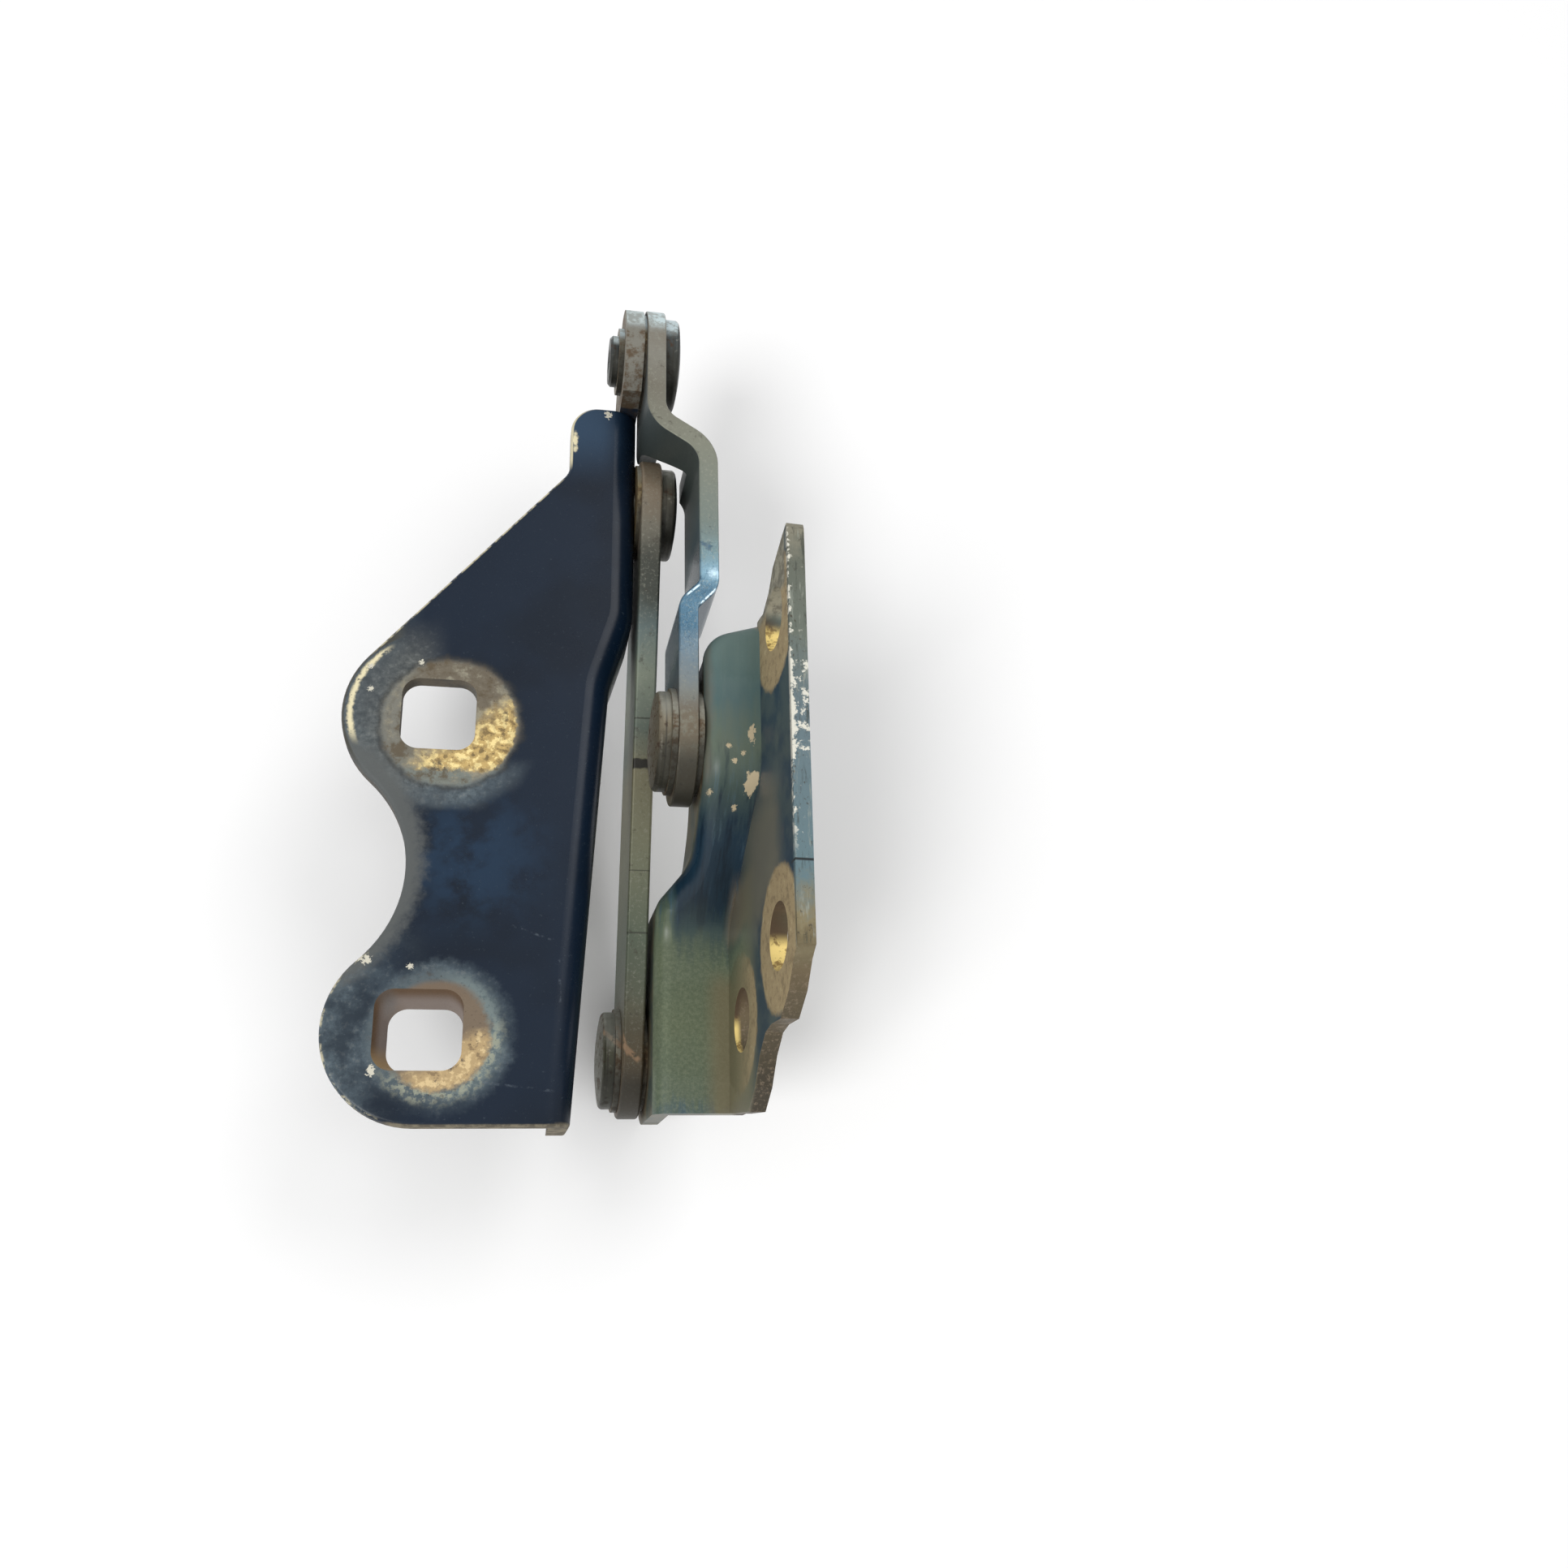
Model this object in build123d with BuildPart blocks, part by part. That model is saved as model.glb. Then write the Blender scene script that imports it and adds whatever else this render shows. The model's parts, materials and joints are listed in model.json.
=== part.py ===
"""Four-bar hood hinge, right-hand side, closed.

Frame: millimetres, +Z up, +Y towards the rear, +X inboard. The origin is on the
underside of the body bracket's flange, midway between its two square bolt holes.
Side views of the parts are drawn in (Y, Z), looking along X.
"""
import os
from math import acos, atan2, cos, degrees, hypot, radians, sin, sqrt

from build123d import *

# Pivot centres (y, z): A and B on the body bracket, C and D on the hood bracket
PIVOT_A = (104.4, 5.9)
PIVOT_B = (76.2, -3.8)
PIVOT_C = (22.8, 8.9)
PIVOT_D = (-28.5, -26.7)

# Sheet thicknesses
BODY_SHEET = 3.5
LINK_SHEET = 4.0
UPPER_SHEET = 3.6
HOOD_SHEET = 3.0

# Rivets
SHANK_RADIUS = 4.0
HEAD_RADIUS = 9.0
HEAD_HEIGHT = 3.6
THIN_HEAD_HEIGHT = 3.1
HEAD_CROWN = 0.9
HEAD_ROUND = 0.8
TAIL_RADIUS = 4.9
TAIL_HEIGHT = 1.6
TAIL_ROUND = 0.5
DIMPLE_RADIUS = 2.6
DIMPLE_DEPTH = 1.2

# Washers and flanged bushes
TAIL_WASHER_RADIUS = 6.4
TAIL_WASHER = 1.0
THRUST_WASHER_RADIUS = 9.6
THRUST_WASHER = 1.0
BUSH_RADIUS = 5.2
BUSH_FLANGE_RADIUS = 9.3
BUSH_FLANGE = 0.8
THIN_FLANGE = 0.5
RUNNING_FIT = 0.05
SIDE_PLAY = 0.05

# Links: eye radii, the upper link's swing round the rivet head at B (y of each
# bend's corner, and how far the strip is set over in x)
EYE_RADIUS = 10.2
FRONT_EYE_RADIUS = 10.8
UPPER_BULGE = 9.8
UPPER_SET = 6.0
BULGE_CORNERS = (85.0, 79.0)
RETURN_CORNERS = (51.2, 47.1)
LINK_BENDS = (8.0, 5.0, 2.0, 5.0)
RELIEF_RADIUS = 11.4
RELIEF_DEPTH = 9.3
UPPER_EDGE_ROUND = 0.3
LOWER_EDGE_ROUND = 0.5

# The pin at C stands this far (y, z) from the centre of the upper link's eye, and
# the eye is wide enough for the pin's small travel in it
OPEN_EYE_OFFSET = (1.04, 1.02)
OPEN_EYE_RADIUS = 5.65

# Body bracket: flange outline, holes, web and ear
WEB_FACE = 34.5
HOLE_PITCH = 56.0
HOLE_CORNER = 3.2
REAR_HOLE = (13.0, 13.4)
FRONT_HOLE = (14.4, 13.4)
FRONT_HOLE_UNDER = (12.2, 10.6)
FRONT_HOLE_SHIFT = (1.1, -1.4)
REAR_LOBE = 16.6
FRONT_LOBE = 15.6
NOTCH_RADIUS = 22.0
FLANGE_REAR = 95.0
NOSE_CORNER = (21.6, 80.0)
NOSE_FILLETS = (4.0, 5.5)
BODY_BEND = 4.5
EDGE_ROUND = 0.8
WEB_PATH = [(34.5, 50.0), (30.3, 36.0), (25.4, -43.6)]
WEB_PATH_BEND = 14.0
WEB_DEPTH = 12.5
WEB_LOBE = 12.5
WEB_RISE = 28.0
EAR_RADIUS = 10.0
NECK_RADIUS = 7.0

# Hood bracket: web face (x), the shelf's side profile, and the leaning flange
HOOD_WEB_REAR = 45.6
HOOD_WEB_FRONT = 40.2
HOOD_JOGGLE = (3.2, -2.6)
HOOD_JOGGLE_BEND = 5.0
SHELF_REAR = 18.5
SHELF_FRONT = -8.0
SHELF_BREAKS = (14.5, -7.0)
SHELF_ENDS = (43.6, -40.3)
SHELF_BEND = 8.0
SHELF_REAR_SLANT = 3.4
SHELF_CORNER = 6.0
HOOD_BEND = 3.0
HOOD_WEB_END = 36.0
HOOD_BOSS = 11.0
RIDGE_X = 56.6
RIDGE_Z = 38.0
FLANGE_LEAN = 3.5
FLANGE_HOLE_RADIUS = 5.6
FLANGE_OUTLINE = [
    (43.6, 18.5),
    (43.3, 21.2),
    (45.5, 25.4),
    (48.7, 28.4),
    (51.2, 34.1),
    (52.5, 37.5),
    (51.4, 38.0),
    (-20.0, 38.0),
    (-21.8, 35.7),
    (-26.1, 32.5),
    (-29.6, 27.4),
    (-29.5, 21.5),
    (-30.2, 17.8),
    (-33.3, 13.8),
    (-38.1, 10.2),
    (-41.5, 5.5),
    (-40.7, -4.5),
    (-40.3, -8.0),
]
FLANGE_HOLES = [(39.0, 28.3), (-16.4, 27.2), (-25.4, 1.6)]


def side_plane(x):
    """The plane of a side view at this x: its local axes are (Y, Z)."""
    return Plane(origin=(x, 0, 0), x_dir=(0, 1, 0), z_dir=(1, 0, 0))


def turning_plane(pivot):
    """The plane a turned piece is drawn in: local x is X, local y the radius."""
    return Plane(origin=(0, pivot[0], pivot[1]), x_dir=(1, 0, 0), z_dir=(0, 0, 1))


def pivot_axis(pivot):
    return Axis((0, pivot[0], pivot[1]), (1, 0, 0))


def on_circle(centre, radius, angle):
    """The point of a circle at this angle in degrees."""
    turn = radians(angle)
    return (centre[0] + radius * cos(turn), centre[1] + radius * sin(turn))


# Stack across each pivot (x): link faces and the bearing faces of the heads
lower_link_x = WEB_FACE + SIDE_PLAY + BUSH_FLANGE
upper_link_x = WEB_FACE + SIDE_PLAY + THIN_FLANGE
upper_front_x = upper_link_x + UPPER_SET
head_a_x = upper_link_x + UPPER_SHEET + SIDE_PLAY
head_b_x = lower_link_x + LINK_SHEET + SIDE_PLAY
head_c_x = upper_front_x - SIDE_PLAY - THRUST_WASHER
head_d_x = lower_link_x - SIDE_PLAY - THRUST_WASHER


def rivet(pivot, seat, far_face, direction, head_height, tail=True):
    """A turned rivet. Its head bears at x = seat and stands out along direction (+1
    or -1). The peened, dimpled tail stands on the washer at x = far_face; without
    a tail the shank ends flush there."""
    grip = abs(seat - far_face)
    tail_end = grip + TAIL_HEIGHT
    rim = head_height - HEAD_CROWN

    def at(height, radius):
        return (seat + direction * height, radius)

    peened = [
        at(DIMPLE_DEPTH - tail_end, 0),
        at(-tail_end, DIMPLE_RADIUS),
        at(-tail_end, TAIL_RADIUS - TAIL_ROUND),
        at(TAIL_ROUND - tail_end, TAIL_RADIUS),
        at(-grip, TAIL_RADIUS),
        at(-grip, SHANK_RADIUS),
    ]
    flush = [at(-grip, 0), at(-grip, SHANK_RADIUS)]
    with BuildPart() as pin:
        with BuildSketch(turning_plane(pivot)):
            with BuildLine():
                Polyline(
                    at(head_height, 0),
                    *(peened if tail else flush),
                    at(0, SHANK_RADIUS),
                    at(0, HEAD_RADIUS),
                    at(rim, HEAD_RADIUS),
                )
                ThreePointArc(
                    at(rim, HEAD_RADIUS),
                    at(rim + HEAD_CROWN * 0.75, HEAD_RADIUS / 2),
                    at(head_height, 0),
                )
            make_face()
        revolve(axis=pivot_axis(pivot))
        circles = pin.edges().filter_by(lambda edge: edge.is_closed).sort_by(Axis.X)
        fillet(circles[-1 if direction > 0 else 0], HEAD_ROUND)
    return pin


def ring(pivot, start, thickness, outer, inner):
    """A flat washer whose lower face is at x = start."""
    with BuildPart() as washer:
        with BuildSketch(side_plane(start)):
            with Locations(pivot):
                Circle(outer)
                Circle(inner, mode=Mode.SUBTRACT)
        extrude(amount=thickness)
    return washer


def flanged_bush(pivot, flange_start, flange, barrel, direction):
    """A bush whose flange starts at x = flange_start; its barrel runs on from the
    flange along direction and fills the link's eye."""
    with BuildPart() as bush:
        with BuildSketch(side_plane(flange_start)):
            with Locations(pivot):
                Circle(BUSH_FLANGE_RADIUS)
        extrude(amount=direction * flange)
        with BuildSketch(side_plane(flange_start + direction * flange)):
            with Locations(pivot):
                Circle(BUSH_RADIUS)
        extrude(amount=direction * barrel)
        with BuildSketch(side_plane(flange_start)):
            with Locations(pivot):
                Circle(SHANK_RADIUS + RUNNING_FIT)
        extrude(amount=direction * (flange + barrel), mode=Mode.SUBTRACT)
    return bush


# Body bracket
rear_hole = (0, HOLE_PITCH / 2)
front_hole = (0, -HOLE_PITCH / 2)
flange_front = front_hole[1] - FRONT_LOBE

# The notch between the lobes is one arc tangent to both of them
notch_y = ((FRONT_LOBE + NOTCH_RADIUS) ** 2 - (REAR_LOBE + NOTCH_RADIUS) ** 2) / (2 * HOLE_PITCH)
notch_x = -sqrt((REAR_LOBE + NOTCH_RADIUS) ** 2 - (notch_y - rear_hole[1]) ** 2)
front_touch = degrees(atan2(notch_y - front_hole[1], notch_x)) % 360
rear_touch = degrees(atan2(notch_y - rear_hole[1], notch_x)) % 360
nose_reach = hypot(NOSE_CORNER[0], NOSE_CORNER[1] - rear_hole[1])
nose_angle = degrees(atan2(NOSE_CORNER[1] - rear_hole[1], NOSE_CORNER[0]))
nose_touch = nose_angle + degrees(acos(REAR_LOBE / nose_reach))

lobe_bottom = PIVOT_B[1] - WEB_LOBE
web_front = WEB_PATH[-1]
web_run_out = (2 * web_front[0] - WEB_PATH[-2][0], 2 * web_front[1] - WEB_PATH[-2][1])

with BuildSketch(Plane.XY.offset(lobe_bottom)) as web_strip:
    with BuildLine():
        FilletPolyline((WEB_FACE, 2 * FLANGE_REAR), *WEB_PATH[:-1], web_run_out, radius=WEB_PATH_BEND)
        offset(amount=BODY_SHEET, side=Side.RIGHT)
    make_face()

with BuildSketch(side_plane(0)) as web_side:
    with BuildLine():
        FilletPolyline(
            (FLANGE_REAR, BODY_SHEET),
            (2 * flange_front, BODY_SHEET),
            (2 * flange_front, -WEB_DEPTH),
            (PIVOT_B[0] - WEB_RISE, -WEB_DEPTH),
            (PIVOT_B[0] - WEB_LOBE, lobe_bottom),
            (FLANGE_REAR, lobe_bottom),
            radius=[0, 0, 0, WEB_LOBE, WEB_LOBE, NECK_RADIUS],
            close=True,
        )
    make_face()

with BuildPart() as body_bracket:
    with BuildSketch(Plane.XY.offset(lobe_bottom)) as body_plan:
        with BuildLine():
            FilletPolyline(
                (WEB_FACE, FLANGE_REAR),
                *WEB_PATH,
                (0, flange_front),
                radius=[WEB_PATH_BEND, WEB_PATH_BEND, 0],
            )
            ThreePointArc(
                (0, flange_front),
                on_circle(front_hole, FRONT_LOBE, (270 + front_touch) / 2),
                on_circle(front_hole, FRONT_LOBE, front_touch),
            )
            ThreePointArc(
                on_circle(front_hole, FRONT_LOBE, front_touch),
                (notch_x + NOTCH_RADIUS, notch_y),
                on_circle(rear_hole, REAR_LOBE, rear_touch),
            )
            ThreePointArc(
                on_circle(rear_hole, REAR_LOBE, rear_touch),
                on_circle(rear_hole, REAR_LOBE, (rear_touch + nose_touch) / 2),
                on_circle(rear_hole, REAR_LOBE, nose_touch),
            )
            FilletPolyline(
                on_circle(rear_hole, REAR_LOBE, nose_touch),
                NOSE_CORNER,
                (NOSE_CORNER[0], FLANGE_REAR),
                (WEB_FACE, FLANGE_REAR),
                radius=NOSE_FILLETS,
            )
        make_face()
    extrude(amount=BODY_SHEET - lobe_bottom)
    top_face = body_bracket.faces().sort_by(Axis.Z)[-1]
    bend_edges = top_face.edges().filter_by(
        lambda edge: edge.center().X > NOSE_CORNER[0] + BODY_SHEET and abs(edge.tangent_at(0.5).Y) > 0.8
    )
    fillet(bend_edges, BODY_BEND)

    # The outline's round runs on down the web's two end edges
    flange_top = body_bracket.faces().filter_by(Axis.Z).sort_by(Axis.Z)[-1]
    outline = flange_top.edges().filter_by(
        lambda edge: edge.center().X < NOSE_CORNER[0] + EDGE_ROUND or abs(edge.tangent_at(0.5).Y) < 0.8
    )
    fillet(outline, EDGE_ROUND)

    # Under the flange only the web's sheet stays, cut to its outline
    web_block = extrude(web_strip.sketch, amount=-lobe_bottom, mode=Mode.PRIVATE)
    web_side_block = extrude(web_side.sketch, amount=2 * WEB_FACE, dir=(1, 0, 0), mode=Mode.PRIVATE)
    below_flange = extrude(body_plan.sketch, amount=-lobe_bottom, mode=Mode.PRIVATE)
    add(below_flange - (web_block & web_side_block), mode=Mode.SUBTRACT)

    # The ear rises behind the flange and carries the pin at A
    with BuildSketch(side_plane(WEB_FACE - BODY_SHEET)):
        with Locations(PIVOT_A):
            Circle(EAR_RADIUS)
        with Locations((FLANGE_REAR - NECK_RADIUS, lobe_bottom + NECK_RADIUS)):
            Circle(NECK_RADIUS)
        make_hull()
        with Locations((FLANGE_REAR, BODY_SHEET - BODY_BEND)):
            Rectangle(4 * NECK_RADIUS, 4 * NECK_RADIUS, align=(Align.MAX, Align.MIN), mode=Mode.SUBTRACT)
    extrude(amount=BODY_SHEET)

    with BuildSketch(side_plane(0)):
        with Locations(PIVOT_A, PIVOT_B):
            Circle(SHANK_RADIUS)
    extrude(amount=2 * WEB_FACE, mode=Mode.SUBTRACT)

    with BuildSketch():
        with Locations(rear_hole):
            RectangleRounded(*REAR_HOLE, HOLE_CORNER)
    extrude(amount=BODY_SHEET, mode=Mode.SUBTRACT)

    # The front hole's rear and outboard walls slope in towards the underside
    with BuildSketch():
        with Locations((FRONT_HOLE_SHIFT[0], front_hole[1] + FRONT_HOLE_SHIFT[1])):
            RectangleRounded(*FRONT_HOLE_UNDER, HOLE_CORNER)
    with BuildSketch(Plane.XY.offset(BODY_SHEET)):
        with Locations(front_hole):
            RectangleRounded(*FRONT_HOLE, HOLE_CORNER)
    loft(mode=Mode.SUBTRACT)

# Upper link: a strip bent in plan, cut to an eye bar in side view
open_eye = (PIVOT_C[0] - OPEN_EYE_OFFSET[0], PIVOT_C[1] - OPEN_EYE_OFFSET[1])
bulge_x = upper_link_x + UPPER_BULGE

with BuildPart() as upper_link:
    with BuildSketch(Plane.XY.offset(-2 * EYE_RADIUS)):
        with BuildLine():
            FilletPolyline(
                (upper_link_x, PIVOT_A[0] + 2 * EYE_RADIUS),
                (upper_link_x, BULGE_CORNERS[0]),
                (bulge_x, BULGE_CORNERS[1]),
                (bulge_x, RETURN_CORNERS[0]),
                (upper_front_x, RETURN_CORNERS[1]),
                (upper_front_x, PIVOT_C[0] - 2 * EYE_RADIUS),
                radius=LINK_BENDS,
            )
            offset(amount=UPPER_SHEET, side=Side.LEFT)
        make_face()
    extrude(amount=4 * EYE_RADIUS)
    with BuildSketch(side_plane(0)):
        with Locations(PIVOT_A, open_eye):
            Circle(EYE_RADIUS)
        make_hull()
        with Locations(PIVOT_A, open_eye):
            Circle(SHANK_RADIUS, mode=Mode.SUBTRACT)
    extrude(amount=2 * WEB_FACE, mode=Mode.INTERSECT)
    with BuildSketch(side_plane(0)):
        with Locations(PIVOT_A):
            Circle(BUSH_RADIUS)
        with Locations(open_eye):
            Circle(OPEN_EYE_RADIUS)
    extrude(amount=2 * WEB_FACE, mode=Mode.SUBTRACT)
    # Its lower edge is relieved where it passes the rivet head at B
    with BuildSketch(side_plane(WEB_FACE)):
        with Locations(PIVOT_B):
            Circle(RELIEF_RADIUS)
    extrude(amount=RELIEF_DEPTH, mode=Mode.SUBTRACT)
    rim = upper_link.edges().filter_by(lambda edge: not edge.is_closed and abs(edge.tangent_at(0.5).X) < 0.99)
    fillet(rim, UPPER_EDGE_ROUND)

# Lower link: a flat eye bar
with BuildPart() as lower_link:
    with BuildSketch(side_plane(lower_link_x)):
        with Locations(PIVOT_B):
            Circle(EYE_RADIUS)
        with Locations(PIVOT_D):
            Circle(FRONT_EYE_RADIUS)
        make_hull()
        with Locations(PIVOT_B, PIVOT_D):
            Circle(BUSH_RADIUS, mode=Mode.SUBTRACT)
    extrude(amount=LINK_SHEET)
    rim = lower_link.edges().filter_by(lambda edge: not edge.is_closed and abs(edge.tangent_at(0.5).X) < 0.5)
    fillet(rim, LOWER_EDGE_ROUND)

# Hood bracket: a web that carries C and D, a cranked shelf, and a leaning flange
shelf_profile = [
    (SHELF_ENDS[0], SHELF_REAR),
    (SHELF_BREAKS[0], SHELF_REAR),
    (SHELF_BREAKS[1], SHELF_FRONT),
    (SHELF_ENDS[1], SHELF_FRONT),
]
web_plan = [
    (HOOD_WEB_REAR, SHELF_ENDS[0]),
    (HOOD_WEB_REAR, HOOD_JOGGLE[0]),
    (HOOD_WEB_FRONT, HOOD_JOGGLE[1]),
    (HOOD_WEB_FRONT, SHELF_ENDS[1]),
]
lean = radians(FLANGE_LEAN)
flange_plane = Plane(origin=(RIDGE_X, 0, RIDGE_Z), x_dir=(0, 1, 0), z_dir=(cos(lean), 0, -sin(lean)))
web_lowest = PIVOT_D[1] - HOOD_BOSS

with BuildSketch(Plane.XY.offset(web_lowest)) as hood_strip:
    with BuildLine():
        FilletPolyline(
            (HOOD_WEB_REAR, 2 * SHELF_ENDS[0]),
            *web_plan[1:3],
            (HOOD_WEB_FRONT, 2 * SHELF_ENDS[1]),
            radius=HOOD_JOGGLE_BEND,
        )
        offset(amount=HOOD_SHEET, side=Side.LEFT)
    make_face()

with BuildSketch(side_plane(0)) as under_shelf:
    with BuildLine():
        FilletPolyline(*shelf_profile, radius=SHELF_BEND)
        Polyline(
            shelf_profile[-1],
            (SHELF_ENDS[1], web_lowest),
            (SHELF_ENDS[0], web_lowest),
            shelf_profile[0],
        )
    make_face()

with BuildSketch(side_plane(0)) as shelf_strip:
    with BuildLine():
        FilletPolyline(*shelf_profile, radius=SHELF_BEND)
        offset(amount=HOOD_SHEET, side=Side.LEFT)
    make_face()

with BuildSketch(side_plane(0)) as hood_web_side:
    with BuildLine():
        FilletPolyline(
            (HOOD_WEB_END, SHELF_REAR),
            (SHELF_ENDS[1], SHELF_REAR),
            (SHELF_ENDS[1], web_lowest),
            (PIVOT_D[0] + HOOD_BOSS, web_lowest),
            (PIVOT_C[0] - HOOD_BOSS, PIVOT_C[1] - HOOD_BOSS),
            (HOOD_WEB_END, PIVOT_C[1] - HOOD_BOSS),
            radius=[0, 0, HOOD_BOSS, HOOD_BOSS, HOOD_BOSS, HOOD_BOSS],
            close=True,
        )
    make_face()

with BuildPart() as hood_bracket:
    with BuildSketch(Plane.XY.offset(web_lowest)) as hood_plan:
        with BuildLine():
            FilletPolyline(
                (2 * RIDGE_X, SHELF_ENDS[1]),
                web_plan[3],
                web_plan[2],
                web_plan[1],
                (HOOD_WEB_REAR, SHELF_ENDS[0] - SHELF_REAR_SLANT),
                (RIDGE_X, SHELF_ENDS[0]),
                (2 * RIDGE_X, SHELF_ENDS[0]),
                radius=[0, HOOD_JOGGLE_BEND, HOOD_JOGGLE_BEND, SHELF_CORNER, 0],
            )
            Line((2 * RIDGE_X, SHELF_ENDS[0]), (2 * RIDGE_X, SHELF_ENDS[1]))
        make_face()
    extrude(amount=SHELF_REAR - web_lowest)
    extrude(under_shelf.sketch, amount=2 * RIDGE_X, dir=(1, 0, 0), mode=Mode.INTERSECT)
    rim_edges = hood_bracket.faces().filter_by(lambda face: face.normal_at().Z > 0.1).edges()
    left_edges = rim_edges.filter_by(
        lambda edge: edge.center().X < HOOD_WEB_REAR + 0.1 and abs(edge.tangent_at(0.5).X) < 0.9
    ).filter_by(lambda edge: SHELF_ENDS[1] + 0.1 < edge.center().Y < HOOD_WEB_END)
    fillet(left_edges, HOOD_BEND)

    # Under the shelf only the web's sheet stays, cut round the bosses of C and D
    below_shelf = extrude(
        under_shelf.sketch - shelf_strip.sketch, amount=2 * RIDGE_X, dir=(1, 0, 0), mode=Mode.PRIVATE
    )
    hood_web_block = extrude(hood_strip.sketch, amount=SHELF_REAR - web_lowest, mode=Mode.PRIVATE)
    boss_block = extrude(hood_web_side.sketch, amount=2 * RIDGE_X, dir=(1, 0, 0), mode=Mode.PRIVATE)
    add(below_shelf - (hood_web_block & boss_block), mode=Mode.SUBTRACT)
    split(bisect_by=flange_plane.offset(HOOD_SHEET), keep=Keep.BOTTOM)

    # The leaning flange stands on the shelf's inboard edge
    with BuildSketch(flange_plane):
        with BuildLine():
            Polyline(
                *[(y, (z - RIDGE_Z) / cos(lean)) for y, z in FLANGE_OUTLINE],
                *[(y, (z - HOOD_SHEET / 2 - RIDGE_Z) / cos(lean)) for y, z in reversed(shelf_profile)],
                close=True,
            )
        make_face()
        with Locations(*[(y, (z - RIDGE_Z) / cos(lean)) for y, z in FLANGE_HOLES]):
            Circle(FLANGE_HOLE_RADIUS, mode=Mode.SUBTRACT)
    extrude(amount=HOOD_SHEET)
    with BuildSketch(side_plane(0)):
        with Locations(PIVOT_C, PIVOT_D):
            Circle(SHANK_RADIUS)
    extrude(amount=HOOD_WEB_REAR + 2 * HOOD_SHEET, mode=Mode.SUBTRACT)

# Rivets: heads inboard at A and B, outboard at C and D
ear_back = WEB_FACE - BODY_SHEET
web_back_c = HOOD_WEB_REAR + HOOD_SHEET
web_back_d = HOOD_WEB_FRONT + HOOD_SHEET
rivet_upper_rear = rivet(PIVOT_A, head_a_x, ear_back - TAIL_WASHER, 1, HEAD_HEIGHT)
rivet_lower_rear = rivet(PIVOT_B, head_b_x, ear_back, 1, HEAD_HEIGHT, tail=False)
rivet_upper_front = rivet(PIVOT_C, head_c_x, web_back_c + TAIL_WASHER, -1, THIN_HEAD_HEIGHT)
rivet_lower_front = rivet(PIVOT_D, head_d_x, web_back_d + TAIL_WASHER, -1, THIN_HEAD_HEIGHT)

# Bushes in the links' eyes, washers under the heads and tails
spacer_x = upper_front_x + UPPER_SHEET + SIDE_PLAY
bush_upper_rear = flanged_bush(PIVOT_A, WEB_FACE + SIDE_PLAY, THIN_FLANGE, UPPER_SHEET, 1)
bush_lower_rear = flanged_bush(PIVOT_B, WEB_FACE + SIDE_PLAY, BUSH_FLANGE, LINK_SHEET, 1)
bush_lower_front = flanged_bush(
    PIVOT_D, lower_link_x + LINK_SHEET + BUSH_FLANGE, BUSH_FLANGE, LINK_SHEET, -1
)
spacer_upper_front = ring(PIVOT_C, spacer_x, HOOD_WEB_REAR - spacer_x, BUSH_FLANGE_RADIUS, SHANK_RADIUS)
thrust_washer_upper_front = ring(PIVOT_C, head_c_x, THRUST_WASHER, THRUST_WASHER_RADIUS, SHANK_RADIUS)
thrust_washer_lower_front = ring(PIVOT_D, head_d_x, THRUST_WASHER, THRUST_WASHER_RADIUS, SHANK_RADIUS)
tail_washer_upper_rear = ring(PIVOT_A, ear_back - TAIL_WASHER, TAIL_WASHER, TAIL_WASHER_RADIUS, SHANK_RADIUS)
tail_washer_upper_front = ring(PIVOT_C, web_back_c, TAIL_WASHER, TAIL_WASHER_RADIUS, SHANK_RADIUS)
tail_washer_lower_front = ring(PIVOT_D, web_back_d, TAIL_WASHER, TAIL_WASHER_RADIUS, SHANK_RADIUS)

pieces = {
    "body_bracket": body_bracket,
    "hood_bracket": hood_bracket,
    "upper_link": upper_link,
    "lower_link": lower_link,
    "rivet_upper_rear": rivet_upper_rear,
    "rivet_lower_rear": rivet_lower_rear,
    "rivet_upper_front": rivet_upper_front,
    "rivet_lower_front": rivet_lower_front,
    "bush_upper_rear": bush_upper_rear,
    "bush_lower_rear": bush_lower_rear,
    "bush_lower_front": bush_lower_front,
    "spacer_upper_front": spacer_upper_front,
    "thrust_washer_upper_front": thrust_washer_upper_front,
    "thrust_washer_lower_front": thrust_washer_lower_front,
    "tail_washer_upper_rear": tail_washer_upper_rear,
    "tail_washer_upper_front": tail_washer_upper_front,
    "tail_washer_lower_front": tail_washer_lower_front,
}
os.makedirs("parts", exist_ok=True)
for name, piece in pieces.items():
    piece.part.label = name
    export_step(piece.part, f"parts/{name}.step")
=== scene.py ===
"""Four-bar hood hinge on a pale floor, seen from above as in the photograph.

Everything is in metres in the model's own frame: +Z up out of the body flange, +Y
towards the rear pivots, +X inboard. Places on the parts are written in millimetres,
and colours as a picture writes them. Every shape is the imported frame's own: this script
gives the parts their materials, and adds the floor, the lamps and the camera.
"""
import json
from math import hypot, radians

import bpy
from mathutils import Euler, Matrix, Vector


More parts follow.
